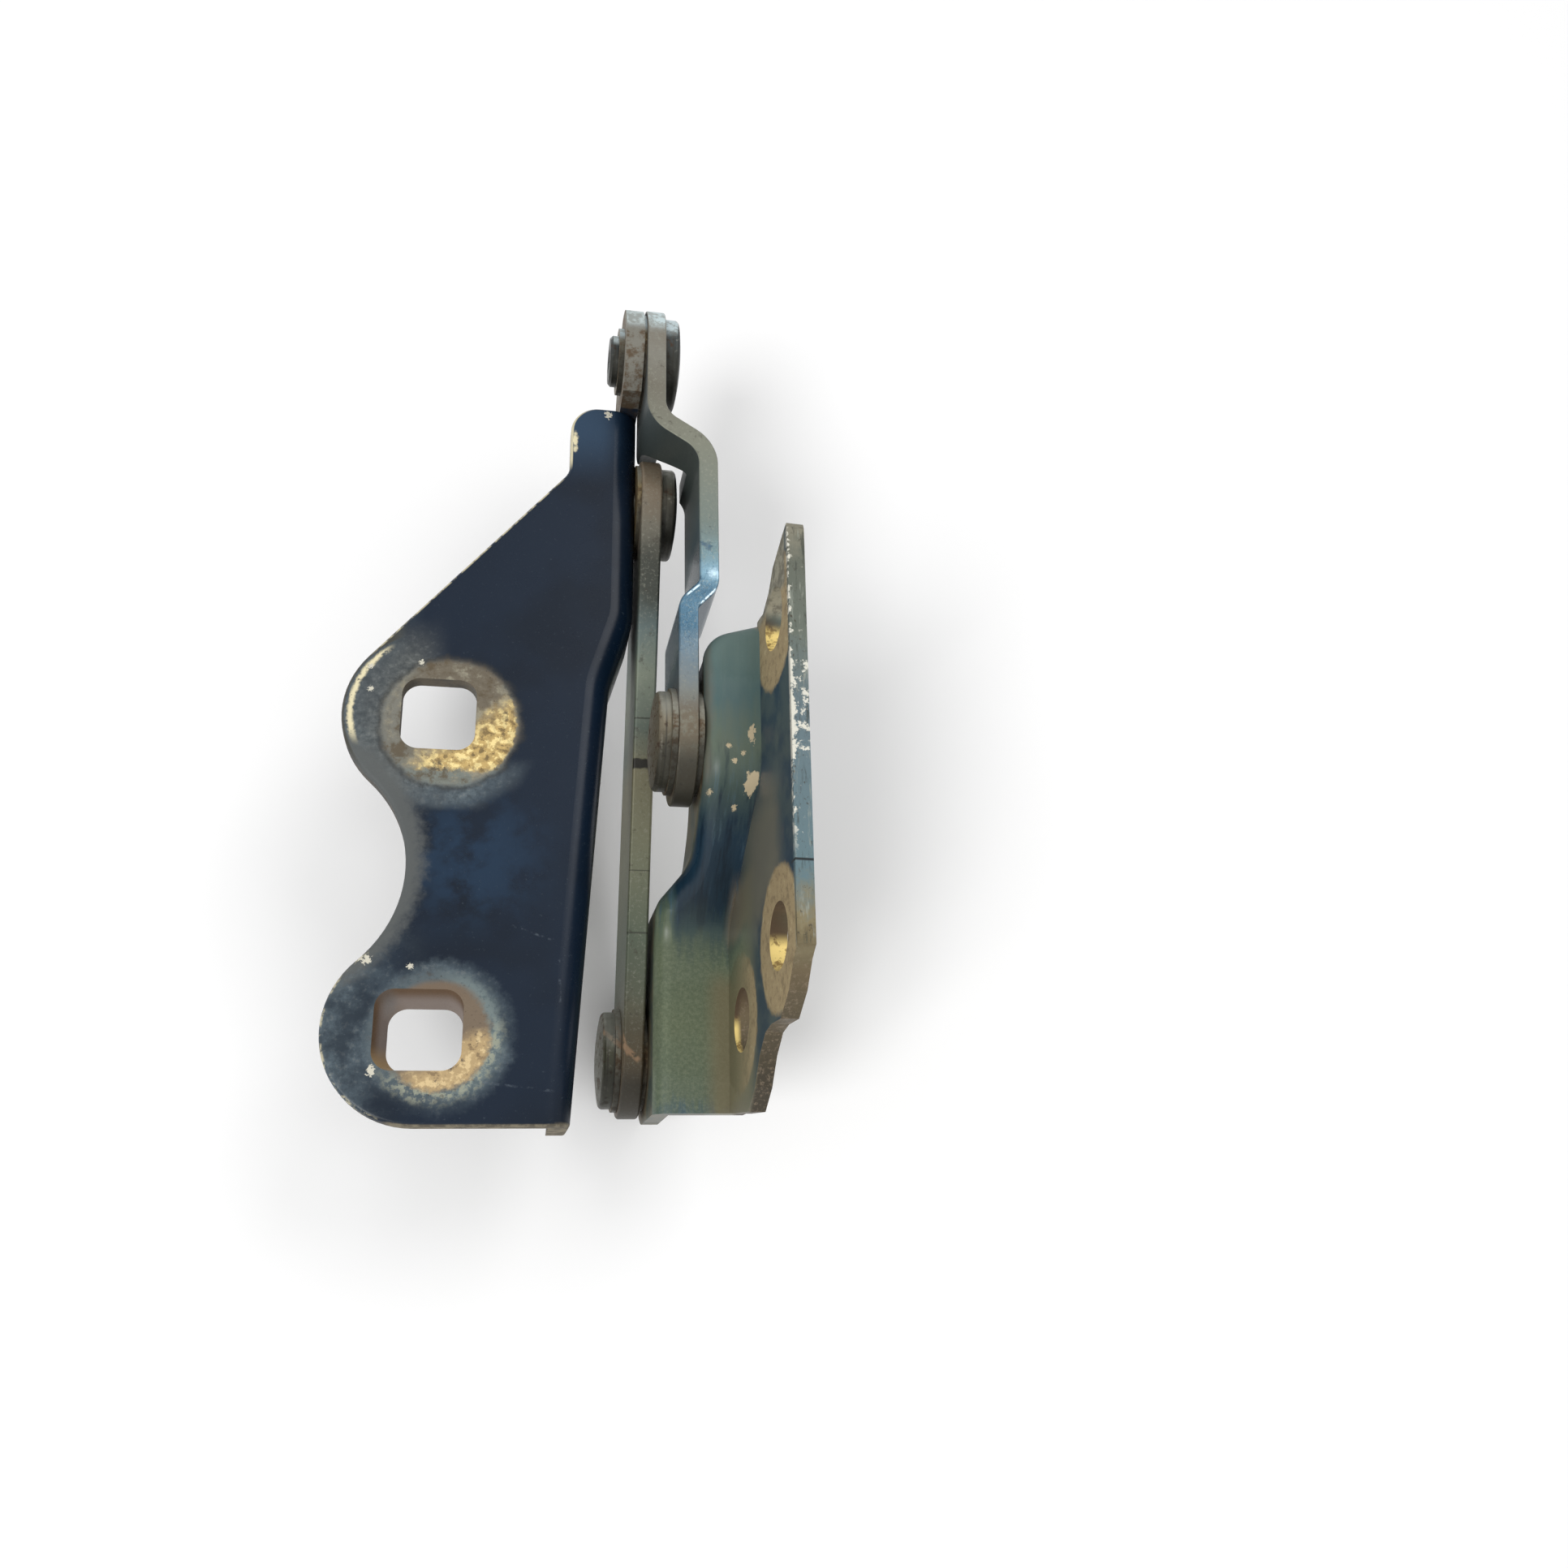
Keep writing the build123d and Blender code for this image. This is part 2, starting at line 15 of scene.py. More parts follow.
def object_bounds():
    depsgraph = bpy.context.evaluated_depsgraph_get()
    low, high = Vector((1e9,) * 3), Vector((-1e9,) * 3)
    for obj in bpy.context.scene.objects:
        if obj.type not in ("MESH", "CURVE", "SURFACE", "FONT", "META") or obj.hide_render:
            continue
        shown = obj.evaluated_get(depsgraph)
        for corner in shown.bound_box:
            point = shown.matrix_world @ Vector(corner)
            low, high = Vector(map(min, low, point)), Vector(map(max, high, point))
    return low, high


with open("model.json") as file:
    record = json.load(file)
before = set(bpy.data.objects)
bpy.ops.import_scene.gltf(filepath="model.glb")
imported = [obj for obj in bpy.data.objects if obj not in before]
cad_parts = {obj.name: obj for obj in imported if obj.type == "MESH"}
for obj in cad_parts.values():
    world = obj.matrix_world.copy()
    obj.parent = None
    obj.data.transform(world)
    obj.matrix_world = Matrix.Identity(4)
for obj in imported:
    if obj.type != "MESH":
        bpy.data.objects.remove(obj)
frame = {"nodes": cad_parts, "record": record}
cad_box = [list(corner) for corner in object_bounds()]

MM = 0.001

# Camera: turn of the view about the model's axes, in degrees, and the model's place
# before the lens, in millimetres
CAMERA_TURN = (-19.83, 11.40, -2.74)
CAMERA_OFFSET = (-61.49, -15.06, -239.18)
FOCAL_PIXELS = 1700
IMAGE_PIXELS = 1932
SENSOR_WIDTH = 36
NEAREST_SEEN = 0.01

# Floor, just under the closed hinge
FLOOR_GAP = 0.0005
FLOOR_SIZE = 30.0
FLOOR_COLOUR = (0.98, 0.98, 0.98, 1)
FLOOR_ROUGHNESS = 0.8

# Light: an even white world and two round lamps, each with its place, size and power
WORLD_COLOUR = (1, 1, 1, 1)
WORLD_STRENGTH = 0.62
LAMP_TARGET = (0, 0.02, 0)
LAMPS = {
    "key": ((-0.55, -0.45, 0.95), 0.5, 6.5),
    "fill": ((0.45, 0.5, 0.9), 0.6, 2.4),
}

# Places on the parts, in millimetres: lobes, bolt washer marks, the notch and the pivots
REAR_LOBE = (0, 28, 0)
REAR_LOBE_RADIUS = 16.6
FRONT_LOBE = (0, -28, 0)
FRONT_LOBE_RADIUS = 15.6
MARK_REAR = (2.3, 26.5, 0)
MARK_FRONT = (3.0, -29.1, 0)
MARK_RADIUS = 12.0
NOTCH = (-26.2, 0.5, 0)
NOTCH_RADIUS = 22.0
HOOD_MARKS = [(57, 38.2, 28.7), (57, -16.9, 27.5), (57, -25.8, 0.5)]
PIVOTS = {"A": (0, 104.4, 5.9), "B": (0, 76.2, -3.8), "C": (0, 22.8, 8.9), "D": (0, -28.5, -26.7)}
LOWER_EYE_RADIUS = 10.2

# Directions in which a surface can face
UP = (0, 0, 1)
INBOARD = (1, 0, 0)
REARWARD = (0, 1, 0)
FRONTWARD = (0, -1, 0)
REAR_AND_UP = (0, 0.8, 0.6)
OUTBOARD_AND_UP = (-0.6, 0, 0.8)

# The axes that count in a distance, for flat parts seen from above or from the side
FROM_ABOVE = (1, 1, 0)
FROM_THE_SIDE = (0, 1, 1)

# The curve of a picture's colours, whose values run from 0 to 255
BRIGHTEST = 255
DARK_LIMIT = 10
DARK_SLOPE = 3295
CURVE_OFFSET = 0.055
CURVE_POWER = 2.4


def linear(value):
    """The light that one channel of a picture's colour stands for."""
    if value <= DARK_LIMIT:
        return value / DARK_SLOPE
    return ((value / BRIGHTEST + CURVE_OFFSET) / (1 + CURVE_OFFSET)) ** CURVE_POWER


def colour(red, green, blue):
    """A colour as a picture writes it, turned into a linear one."""
    return tuple(linear(value) for value in (red, green, blue))


class Shader:
    """Builds one procedural material from short calls. Values are sockets or numbers, masks
    run from 0 to 1, and places are in millimetres in the part's own frame."""

    def __init__(self, name, grain, speck, blotch=None):
        """grain, speck and blotch are the material's noises, fine to coarse, as (size, seed)."""
        self.material = bpy.data.materials.new(name)
        self.material.use_nodes = True
        self.tree = self.material.node_tree
        self.tree.nodes.clear()
        output = self.tree.nodes.new("ShaderNodeOutputMaterial")
        self.surface = self.tree.nodes.new("ShaderNodeBsdfPrincipled")
        self.tree.links.new(self.surface.outputs[0], output.inputs[0])
        self.find_place()
        self.find_normal()
        self.up = self.facing(UP)
        self.grain = self.noise(*grain, detail=5, rough=0.75)
        self.speck = self.noise(*speck, detail=6, rough=0.7)
        if blotch:
            self.blotch = self.noise(*blotch, detail=6, rough=0.6)

    def find_place(self):
        """Where the point lies on the part, whole and as x, y and z."""
        coordinates = self.tree.nodes.new("ShaderNodeTexCoord")
        scale = self.vector("SCALE", coordinates.outputs["Object"])
        scale.inputs["Scale"].default_value = 1 / MM
        self.place = scale.outputs[0]
        split = self.tree.nodes.new("ShaderNodeSeparateXYZ")
        self.tree.links.new(self.place, split.inputs[0])
        self.x, self.y, self.z = split.outputs

    def find_normal(self):
        """The way the surface faces, in the part's own frame."""
        geometry = self.tree.nodes.new("ShaderNodeNewGeometry")
        turn = self.tree.nodes.new("ShaderNodeVectorTransform")
        turn.vector_type = "NORMAL"
        turn.convert_from = "WORLD"
        turn.convert_to = "OBJECT"
        self.tree.links.new(geometry.outputs["Normal"], turn.inputs[0])
        self.normal = turn.outputs[0]

    def put(self, socket, value):
        if isinstance(value, bpy.types.NodeSocket):
            self.tree.links.new(value, socket)
        elif isinstance(value, tuple) and len(value) == 3 and socket.type == "RGBA":
            socket.default_value = (*value, 1)
        else:
            socket.default_value = value

    def math(self, operation, a, b=0.0):
        node = self.tree.nodes.new("ShaderNodeMath")
        node.operation = operation
        self.put(node.inputs[0], a)
        self.put(node.inputs[1], b)
        return node.outputs[0]

    def vector(self, operation, a, b=(0, 0, 0)):
        node = self.tree.nodes.new("ShaderNodeVectorMath")
        node.operation = operation
        self.put(node.inputs[0], a)
        self.put(node.inputs[1], b)
        return node

    def mix(self, kind, base, over, mask):
        node = self.tree.nodes.new("ShaderNodeMix")
        node.data_type = kind
        self.put(node.inputs["Factor"], mask)
        self.put(node.inputs["A"], base)
        self.put(node.inputs["B"], over)
        return node.outputs["Result"]

    def add(self, a, b):
        return self.math("ADD", a, b)

    def mul(self, a, b):
        return self.math("MULTIPLY", a, b)

    def size(self, value):
        return self.math("ABSOLUTE", value)

    def inverse(self, mask):
        return self.math("SUBTRACT", 1, mask)

    def mixed(self, value, other, share):
        """A value with a share of another one added."""
        return self.add(value, self.mul(other, share))

    def both(self, *masks):
        """Where all the masks are; a plain number among them weakens the result."""
        result = masks[0]
        for mask in masks[1:]:
            result = self.mul(result, mask)
        return result

    def either(self, *masks):
        result = masks[0]
        for mask in masks[1:]:
            result = self.math("MAXIMUM", result, mask)
        return result

    def step(self, value, low, high):
        """0 below low and 1 above high, smooth between; low may be the greater."""
        node = self.tree.nodes.new("ShaderNodeMapRange")
        node.interpolation_type = "SMOOTHSTEP"
        self.put(node.inputs["Value"], value)
        flip = low > high
        node.inputs["From Min"].default_value = min(low, high)
        node.inputs["From Max"].default_value = max(low, high)
        node.inputs["To Min"].default_value = 1.0 if flip else 0.0
        node.inputs["To Max"].default_value = 0.0 if flip else 1.0
        return node.outputs["Result"]

    def band(self, value, low, high, soft):
        """1 between low and high."""
        return self.both(
            self.step(value, low - soft, low + soft),
            self.step(value, high + soft, high - soft),
        )

    def noise(self, size, seed, detail, rough=0.55, stretch=(1, 1, 1)):
        """Noise whose blotches are about size millimetres across."""
        mapping = self.tree.nodes.new("ShaderNodeMapping")
        mapping.inputs["Scale"].default_value = Vector(stretch) / size
        mapping.inputs["Location"].default_value = (seed, seed * 1.7, seed * 0.6)
        self.tree.links.new(self.place, mapping.inputs["Vector"])
        node = self.tree.nodes.new("ShaderNodeTexNoise")
        node.inputs["Scale"].default_value = 1
        node.inputs["Detail"].default_value = detail
        node.inputs["Roughness"].default_value = rough
        self.tree.links.new(mapping.outputs[0], node.inputs["Vector"])
        return node.outputs["Fac"]

    def facing(self, direction):
        """How far the surface faces a direction, from -1 to 1."""
        return self.vector("DOT_PRODUCT", self.normal, direction).outputs["Value"]

    def distance(self, point, along):
        """Distance from a point; an axis with 0 in along is ignored."""
        offset = self.vector("SUBTRACT", self.place, point)
        counted = self.vector("MULTIPLY", offset.outputs[0], along)
        return self.vector("LENGTH", counted.outputs[0]).outputs["Value"]

    def beyond(self, point, direction):
        """How far the place lies beyond a point in a direction (x, y), seen from above."""
        over_x = self.mul(self.add(self.x, -point[0]), direction[0])
        over_y = self.mul(self.add(self.y, -point[1]), direction[1])
        return self.add(over_x, over_y)

    def frayed(self, distance, grain, fray):
        """A distance whose level lines are torn by this many millimetres."""
        return self.add(distance, self.mul(self.add(grain, -0.5), 2 * fray))

    def blot(self, point, radius, soft, grain=None, fray=0.0, along=FROM_ABOVE):
        """A spot round a point, 1 inside and 0 outside."""
        reach = self.distance(point, along)
        if grain is not None:
            reach = self.frayed(reach, grain, fray)
        return self.step(reach, radius + soft, radius - soft)

    def spots(self, points, radius):
        """Small torn chips round several points (x, y)."""
        grain = self.noise(0.6 * radius, seed=17, detail=3)
        return self.either(*[self.blot((x, y, 0), radius, 0.1, grain, 1.8 * radius) for x, y in points])

    def scratches(self, lines):
        """Thin lines on faces seen from above, each with its start, end and width."""
        return self.either(*[self.scratch(*line) for line in lines])

    def scratch(self, start, end, width):
        length = hypot(end[0] - start[0], end[1] - start[1])
        ux = (end[0] - start[0]) / length
        uy = (end[1] - start[1]) / length
        along = self.beyond(start, (ux, uy))
        across = self.size(self.beyond(start, (-uy, ux)))
        return self.both(self.step(across, width, 0.3 * width), self.band(along, 0, length, 0.4))

    def blend(self, base, over, mask):
        return self.mix("RGBA", base, over, mask)

    def level(self, base, over, mask):
        """The same as blend, for plain numbers."""
        return self.mix("FLOAT", base, over, mask)

    def layered(self, base, *layers):
        """A base with layers over it in this order, each a colour and its mask."""
        for over, mask in layers:
            base = self.blend(base, over, mask)
        return base

    def ramp(self, value, stops):
        """Colours that follow a value: each stop is the value and its colour."""
        low = stops[0][0]
        span = stops[-1][0] - low
        node = self.tree.nodes.new("ShaderNodeValToRGB")
        elements = node.color_ramp.elements
        while len(elements) < len(stops):
            elements.new(1)
        for element, (place, rgb) in zip(elements, stops):
            element.position = (place - low) / span
            element.color = (*rgb, 1)
        self.put(node.inputs["Fac"], self.mul(self.add(value, -low), 1 / span))
        return node.outputs["Color"]

    def bump(self, height, strength, depth):
        node = self.tree.nodes.new("ShaderNodeBump")
        node.inputs["Strength"].default_value = strength
        node.inputs["Distance"].default_value = depth * MM
        self.tree.links.new(height, node.inputs["Height"])
        self.tree.links.new(node.outputs[0], self.surface.inputs["Normal"])

    def finish(self, colour, roughness, metallic):
        self.put(self.surface.inputs["Base Color"], colour)
        self.put(self.surface.inputs["Roughness"], roughness)
        self.put(self.surface.inputs["Metallic"], metallic)
        return self.material


# Marks that run over several parts of the stacks at the pivots A and D: scuffs at D and painted
# highlights at A, with painted shade and highlights by the way a side faces
SCUFFS_AT_D = [((32.0, -24.2), (38.4, -30.0), 0.7), ((34.4, -23.2), (36.4, -29.0), 0.5)]
SCUFF_BROWN = colour(142, 114, 86)
# Painted shade for the sides that face the front, and a painted highlight for those that face the rear
FRONT_FACING_SHADE = colour(38, 38, 31)
REAR_FACING_HIGHLIGHT = colour(156, 158, 148)
STEEL_GLINT = colour(190, 206, 210)


def scuffs_at_d(s):
    """Two scratches over the top of the stack at D."""
    on_top = s.both(s.scratches(SCUFFS_AT_D), s.step(s.z, -21, -19), s.step(s.up, 0.2, 0.6))
    return s.both(on_top, s.step(s.speck, 0.4, 0.5), 0.85)


def painted_highlights_at_a(s):
    """Painted highlights in spots on the rear end of the stack at A."""
    # The painted highlight's strength, broken up in spots
    worn = s.add(0.4, s.mul(s.step(s.speck, 0.42, 0.54), 0.6))
    return s.both(s.step(s.facing(REAR_AND_UP), 0.6, 0.85), s.step(s.y, 103, 107.5), worn)


def weathered_shaded_and_lit(s, metal):
    """Scuffs at D, painted shade on the sides that face the front, painted highlights on those that face
    the rear and at A.
    """
    return s.layered(
        metal,
        (SCUFF_BROWN, scuffs_at_d(s)),
        (FRONT_FACING_SHADE, s.mul(s.step(s.facing(FRONTWARD), -0.1, 0.55), 0.85)),
        (REAR_FACING_HIGHLIGHT, s.mul(s.step(s.facing(REAR_AND_UP), 0.6, 0.95), 0.6)),
        (STEEL_GLINT, painted_highlights_at_a(s)),
    )


# Body bracket: paint and dust
NAVY_REAR = colour(8, 22, 37)
NAVY = colour(14, 29, 46)
NAVY_BETWEEN_HOLES = colour(24, 46, 68)
NAVY_NECK = colour(42, 66, 90)
DUST = colour(92, 106, 114)
DUST_BELOW_REAR = colour(92, 98, 100)
DUST_FILM = colour(94, 97, 95)
DUST_DARK = colour(38, 46, 52)
DUST_PALE = colour(128, 132, 130)
DUST_GRAIN = colour(92, 104, 112)
NOTCH_BAND = colour(92, 95, 94)
BETWEEN_HOLES = (7, 2, 0)


def navy_coat(s):
    """Nearly black at the rear, a little lighter and bluer between the holes and at the neck."""
    cloud = s.noise(22, seed=9, detail=3)
    return s.layered(
        NAVY_REAR,
        (NAVY, s.step(cloud, 0.4, 0.62)),
        (NAVY_BETWEEN_HOLES, s.both(s.blot(BETWEEN_HOLES, 11, 7), s.step(s.blotch, 0.38, 0.6))),
        (NAVY_NECK, s.both(s.step(s.y, 76, 90), s.step(s.x, 33, 27), 0.9)),
    )


def dusted(s, paint):
    """Pale, crumbly dust: over the lobes' left, below the rear mark and round the front one."""
    cloudy = s.step(s.mixed(s.blotch, s.speck, 0.35), 0.5, 0.82)
    left = s.step(s.x, -3, -13)
    below_rear = s.blot(MARK_REAR, 15.6, 1.4, s.blotch, 2.5)
    below_rear = s.both(below_rear, s.step(s.y, 21, 16), s.level(1, 0.5, s.step(s.x, 5, 10)))
    ring = s.blot(MARK_FRONT, 12.6, 1.2, s.speck, 2)
    round_front = s.either(ring, s.both(s.step(s.x, 2, -8), s.step(s.y, -8, -16), 0.6))
    round_front = s.both(round_front, s.level(0.45, 1, s.step(s.y, -40, -33)))
    dust = s.either(s.mul(left, 0.85), below_rear, s.mul(round_front, 0.7))
    dust = s.both(dust, s.add(0.25, s.mul(cloudy, 0.75)))

    film = s.both(s.blot(REAR_LOBE, 15, 5, s.blotch, 3), s.step(s.x, 2, -6))
    film = s.both(film, s.add(0.55, s.mul(cloudy, 0.4)))
    dusty = s.either(dust, film)
    crumbs = s.noise(1.2, seed=40, detail=5, rough=0.7)
    paint = s.layered(
        paint,
        (DUST, dust),
        (DUST_BELOW_REAR, s.mul(below_rear, 0.35)),
        (DUST_FILM, film),
        (DUST_DARK, s.both(dusty, s.step(crumbs, 0.52, 0.38), 0.6)),
        (DUST_PALE, s.both(dusty, s.step(crumbs, 0.52, 0.66), 0.5)),
        (DUST_GRAIN, s.mul(s.step(s.grain, 0.6, 0.72), 0.3)),
    )
    return paint, dust


def worn_notch(s, paint):
    """A dull grey band that follows the notch."""
    reach = s.frayed(s.distance(NOTCH, FROM_ABOVE), s.speck, 2.2)
    band = s.step(reach, NOTCH_RADIUS + 5, NOTCH_RADIUS + 1.5)
    return s.blend(paint, NOTCH_BAND, s.mul(band, 0.9)), band


# Rear washer mark: worn metal, and gold leaf towards the front and inboard
REAR_GOLD_WAY = (0.62, -0.78)
REAR_METAL = colour(112, 104, 90)
REAR_METAL_OUTBOARD = colour(122, 121, 112)
REAR_METAL_FRONT = colour(122, 127, 120)
REAR_METAL_PALE = colour(146, 141, 124)
REAR_GOLD = colour(196, 168, 110)
REAR_GOLD_LEAF = colour(242, 220, 156)
REAR_GOLD_DARK = colour(104, 88, 62)
REAR_BROWN = colour(92, 80, 62)
REAR_ARCS = colour(88, 80, 66)
REAR_PITS = colour(64, 54, 44)
REAR_OUTLINE = colour(48, 48, 46)


def rear_mark(s, paint, mottle, leaf):
    """Worn brown and grey in faint arcs, with the gold's leaf, inside a dark torn outline."""
    reach = s.distance(MARK_REAR, FROM_ABOVE)
    torn_reach = s.frayed(reach, mottle, 1.6)
    speckled_reach = s.frayed(reach, s.speck, 1.6)
    mark = s.step(torn_reach, MARK_RADIUS + 0.9, MARK_RADIUS - 0.9)
    arcs = s.math("SINE", s.mul(speckled_reach, 3.6))
    gold = s.both(
        s.step(s.frayed(s.beyond(MARK_REAR, REAR_GOLD_WAY), s.blotch, 5), 1.0, 5.5),
        s.step(speckled_reach, 11.8, 11.0),
        s.step(s.frayed(s.y, s.speck, 2.2), 17.0, 18.4),
    )
    metal = s.layered(
        REAR_METAL,
        (REAR_METAL_OUTBOARD, s.step(s.x, -1, -8)),
        (REAR_METAL_FRONT, s.step(s.y, 21, 17)),
        (REAR_METAL_PALE, s.step(mottle, 0.5, 0.62)),
        (REAR_GOLD, s.both(gold, s.step(mottle, 0.34, 0.46))),
        (REAR_GOLD_LEAF, s.both(gold, s.step(leaf, 0.5, 0.58))),
        (REAR_GOLD_DARK, s.both(gold, s.step(leaf, 0.45, 0.38), 0.75)),
        (REAR_BROWN, s.mul(s.step(mottle, 0.48, 0.36), 0.8)),
        (REAR_ARCS, s.mul(s.step(arcs, 0.0, 0.95), 0.2)),
        (REAR_PITS, s.step(s.grain, 0.4, 0.3)),
    )
    outline = s.band(torn_reach, 12.2, 12.9, 0.5)
    return s.layered(paint, (metal, mark), (REAR_OUTLINE, s.mul(outline, 0.55))), mark


# Front washer mark: a pale mottled ring, brown inside it, gold leaf towards the front
FRONT_GOLD_WAY = (0.5, -0.85)
FRONT_METAL = colour(88, 98, 102)
FRONT_METAL_INBOARD = colour(112, 124, 124)
FRONT_PALE = colour(160, 162, 142)
FRONT_SLATE = colour(66, 80, 86)
FRONT_BROWN = colour(118, 104, 88)
FRONT_GOLD = colour(180, 156, 116)
FRONT_GOLD_LEAF = colour(216, 192, 146)
FRONT_GOLD_DARK = colour(122, 104, 80)
FRONT_STAIN = colour(78, 72, 66)
FRONT_PITS = colour(60, 52, 46)
FRONT_TOP_RING = colour(116, 100, 84)


def front_mark(s, paint, mottle, leaf):
    """The ring's flecks are pale towards the front, and a brown ring shows at its rear."""
    reach = s.distance(MARK_FRONT, FROM_ABOVE)
    torn_reach = s.frayed(reach, s.speck, 1.4)
    mark = s.step(torn_reach, MARK_RADIUS, MARK_RADIUS - 2.4)
    inner = s.step(torn_reach, MARK_RADIUS - 2.6, MARK_RADIUS - 4.0)
    forward = s.frayed(s.beyond(MARK_FRONT, FRONT_GOLD_WAY), s.blotch, 4)
    gold = s.both(s.step(forward, 1.5, 5), inner)
    flecks = s.noise(1.1, seed=31, detail=4, rough=0.6)
    pale = s.both(s.step(forward, -1, 5), s.step(s.mixed(flecks, mottle, 0.4), 0.66, 0.78), 0.7)
    metal = s.layered(
        FRONT_METAL,
        (FRONT_METAL_INBOARD, s.step(s.frayed(s.x, s.blotch, 3), 2, 9)),
        (FRONT_PALE, pale),
        (FRONT_SLATE, s.mul(s.step(flecks, 0.48, 0.36), 0.5)),
        (FRONT_BROWN, inner),
        (FRONT_GOLD, s.both(gold, s.step(mottle, 0.32, 0.44))),
        (FRONT_GOLD_LEAF, s.both(gold, s.step(leaf, 0.5, 0.6), 0.9)),
        (FRONT_GOLD_DARK, s.both(gold, s.step(leaf, 0.44, 0.36), 0.75)),
        (FRONT_STAIN, s.mul(s.step(mottle, 0.42, 0.32), 0.7)),
        (FRONT_PITS, s.step(s.grain, 0.4, 0.3)),
    )
    top_ring = s.both(s.band(reach, 7.2, 9.2, 0.7), s.step(s.frayed(s.y, s.speck, 2), -24, -21), 0.85)
    return s.layered(paint, (metal, mark), (FRONT_TOP_RING, top_ring)), mark


# Body bracket: walls of the holes, painted highlights on the rims, chips, edges and ear
FRONT_WALL_FOOT = colour(130, 119, 112)
FRONT_WALL_HEAD = colour(98, 78, 60)
FRONT_WALL_GOLD = colour(166, 140, 104)
REAR_WALL = colour(120, 112, 96)
RIM_DARK = colour(66, 64, 56)
# Painted highlight along the rounded rims
IVORY_HIGHLIGHT = colour(226, 216, 180)
CURL = (21.6, 88, 0)
CURL_GLINT = (22.4, 86.8, 0)
FRONT_END_Y = -42.6
BODY_CHIPS = colour(206, 202, 186)
SMALL_CHIPS = [(-3.5, 37.8), (-12.2, 36.5), (-11.9, 32.1), (-1.9, -17.5)]
LARGE_CHIPS = [(-10.2, -16.1), (-8.9, -16.5), (-15.2, -22), (-7, -34.8), (28.8, 93.5)]
SCRATCH_GREY = colour(112, 122, 132)
FLANGE_SCRATCHES = [
    ((11, -36.6), (25, -38.2), 0.3),
    ((22.6, -16), (23, -23), 0.3),
    ((14, -10), (21, -12.4), 0.25),
]
SIDE_GREY = colour(46, 50, 54)
SIDE_BROWN = colour(92, 84, 72)
FRONT_EDGE = colour(92, 86, 74)
FRONT_EDGE_PALE = colour(126, 118, 100)
EAR_GREY = colour(124, 122, 113)
EAR_BROWN = colour(92, 78, 62)
EAR_GLINT = colour(190, 202, 202)


def hole_walls(s, paint):
    """The sloping walls of the front hole are brown-grey, gold at the front; the rear's are grey."""
    sloping = s.step(s.up, 0.9, 0.6)
    wall = s.layered(
        FRONT_WALL_FOOT,
        (FRONT_WALL_HEAD, s.step(s.z, 1.2, 3.2)),
        (FRONT_WALL_GOLD, s.step(s.y, -30, -34)),
    )
    return s.layered(
        paint,
        (wall, s.both(s.blot(FRONT_LOBE, 9.5, 0.5), sloping)),
        (REAR_WALL, s.both(s.blot(REAR_LOBE, 9.0, 0.5), sloping)),
    )


def rim_highlights(s, paint):
    """Painted highlights in ivory along the rounded rims and on the neck's curl; outside the rear lobe's
    rim, dark.
    """
    rounded = s.both(s.step(s.up, 0.97, 0.85), s.step(s.up, -0.2, 0.2))
    lobe = s.distance(REAR_LOBE, FROM_ABOVE)
    dark = s.step(lobe, REAR_LOBE_RADIUS - 0.7, REAR_LOBE_RADIUS - 0.3)
    dark = s.both(dark, s.step(s.x, -6, -9), s.step(s.y, 16, 22), 0.85)
    rear = s.band(s.frayed(lobe, s.speck, 0.7), REAR_LOBE_RADIUS - 1.9, REAR_LOBE_RADIUS - 1.0, 0.3)
    rear = s.both(rear, s.step(s.x, -8, -11), s.step(s.y, 21, 25), s.step(s.speck, 0.36, 0.46))
    front = s.step(s.distance(FRONT_LOBE, FROM_ABOVE), FRONT_LOBE_RADIUS - 0.6, FRONT_LOBE_RADIUS - 0.2)
    front = s.both(front, s.step(s.x, -4, -8), s.step(s.y, -14, -18), s.step(s.speck, 0.48, 0.58), 0.6)
    curl = s.both(rounded, s.blot(CURL, 6.5, 1.5), s.step(s.speck, 0.3, 0.42), 0.8)
    glint = s.blot(CURL_GLINT, 0.45, 0.25, s.speck, 0.9, along=(1, 0.25, 0))
    diagonal = s.both(rounded, s.step(s.x, 22, 18), s.step(s.y, 38, 42), s.step(s.speck, 0.4, 0.55), 0.7)
    rim_highlight = s.either(rear, front, curl, glint, diagonal)
    return s.layered(paint, (RIM_DARK, dark), (IVORY_HIGHLIGHT, rim_highlight)), rim_highlight


def chipped(s, paint):
    """Pale chips, and faint scratches on the flat top."""
    chips = s.either(s.spots(SMALL_CHIPS, 0.45), s.spots(LARGE_CHIPS, 0.7))
    flat_top = s.step(s.up, 0.93, 0.99)
    scratches = s.both(s.scratches(FLANGE_SCRATCHES), flat_top, s.step(s.speck, 0.46, 0.6), 0.3)
    return s.layered(
        paint,
        (BODY_CHIPS, s.both(chips, s.step(s.z, 0.5, 1))),
        (SCRATCH_GREY, scratches),
    )


def bare_edges(s, paint, side):
    """Outboard of the web the cut sides are dull, and the front edge is bare."""
    side_colour = s.blend(SIDE_GREY, SIDE_BROWN, s.step(s.blotch, 0.42, 0.6))
    front_colour = s.blend(FRONT_EDGE, FRONT_EDGE_PALE, s.step(s.speck, 0.42, 0.6))
    front_edge = s.both(s.step(s.up, 0.95, 0.7), s.step(s.y, FRONT_END_Y, FRONT_END_Y - 0.6))
    outboard_side = s.both(side, s.step(s.x, 24, 20))
    return s.layered(paint, (side_colour, outboard_side), (front_colour, front_edge)), front_edge


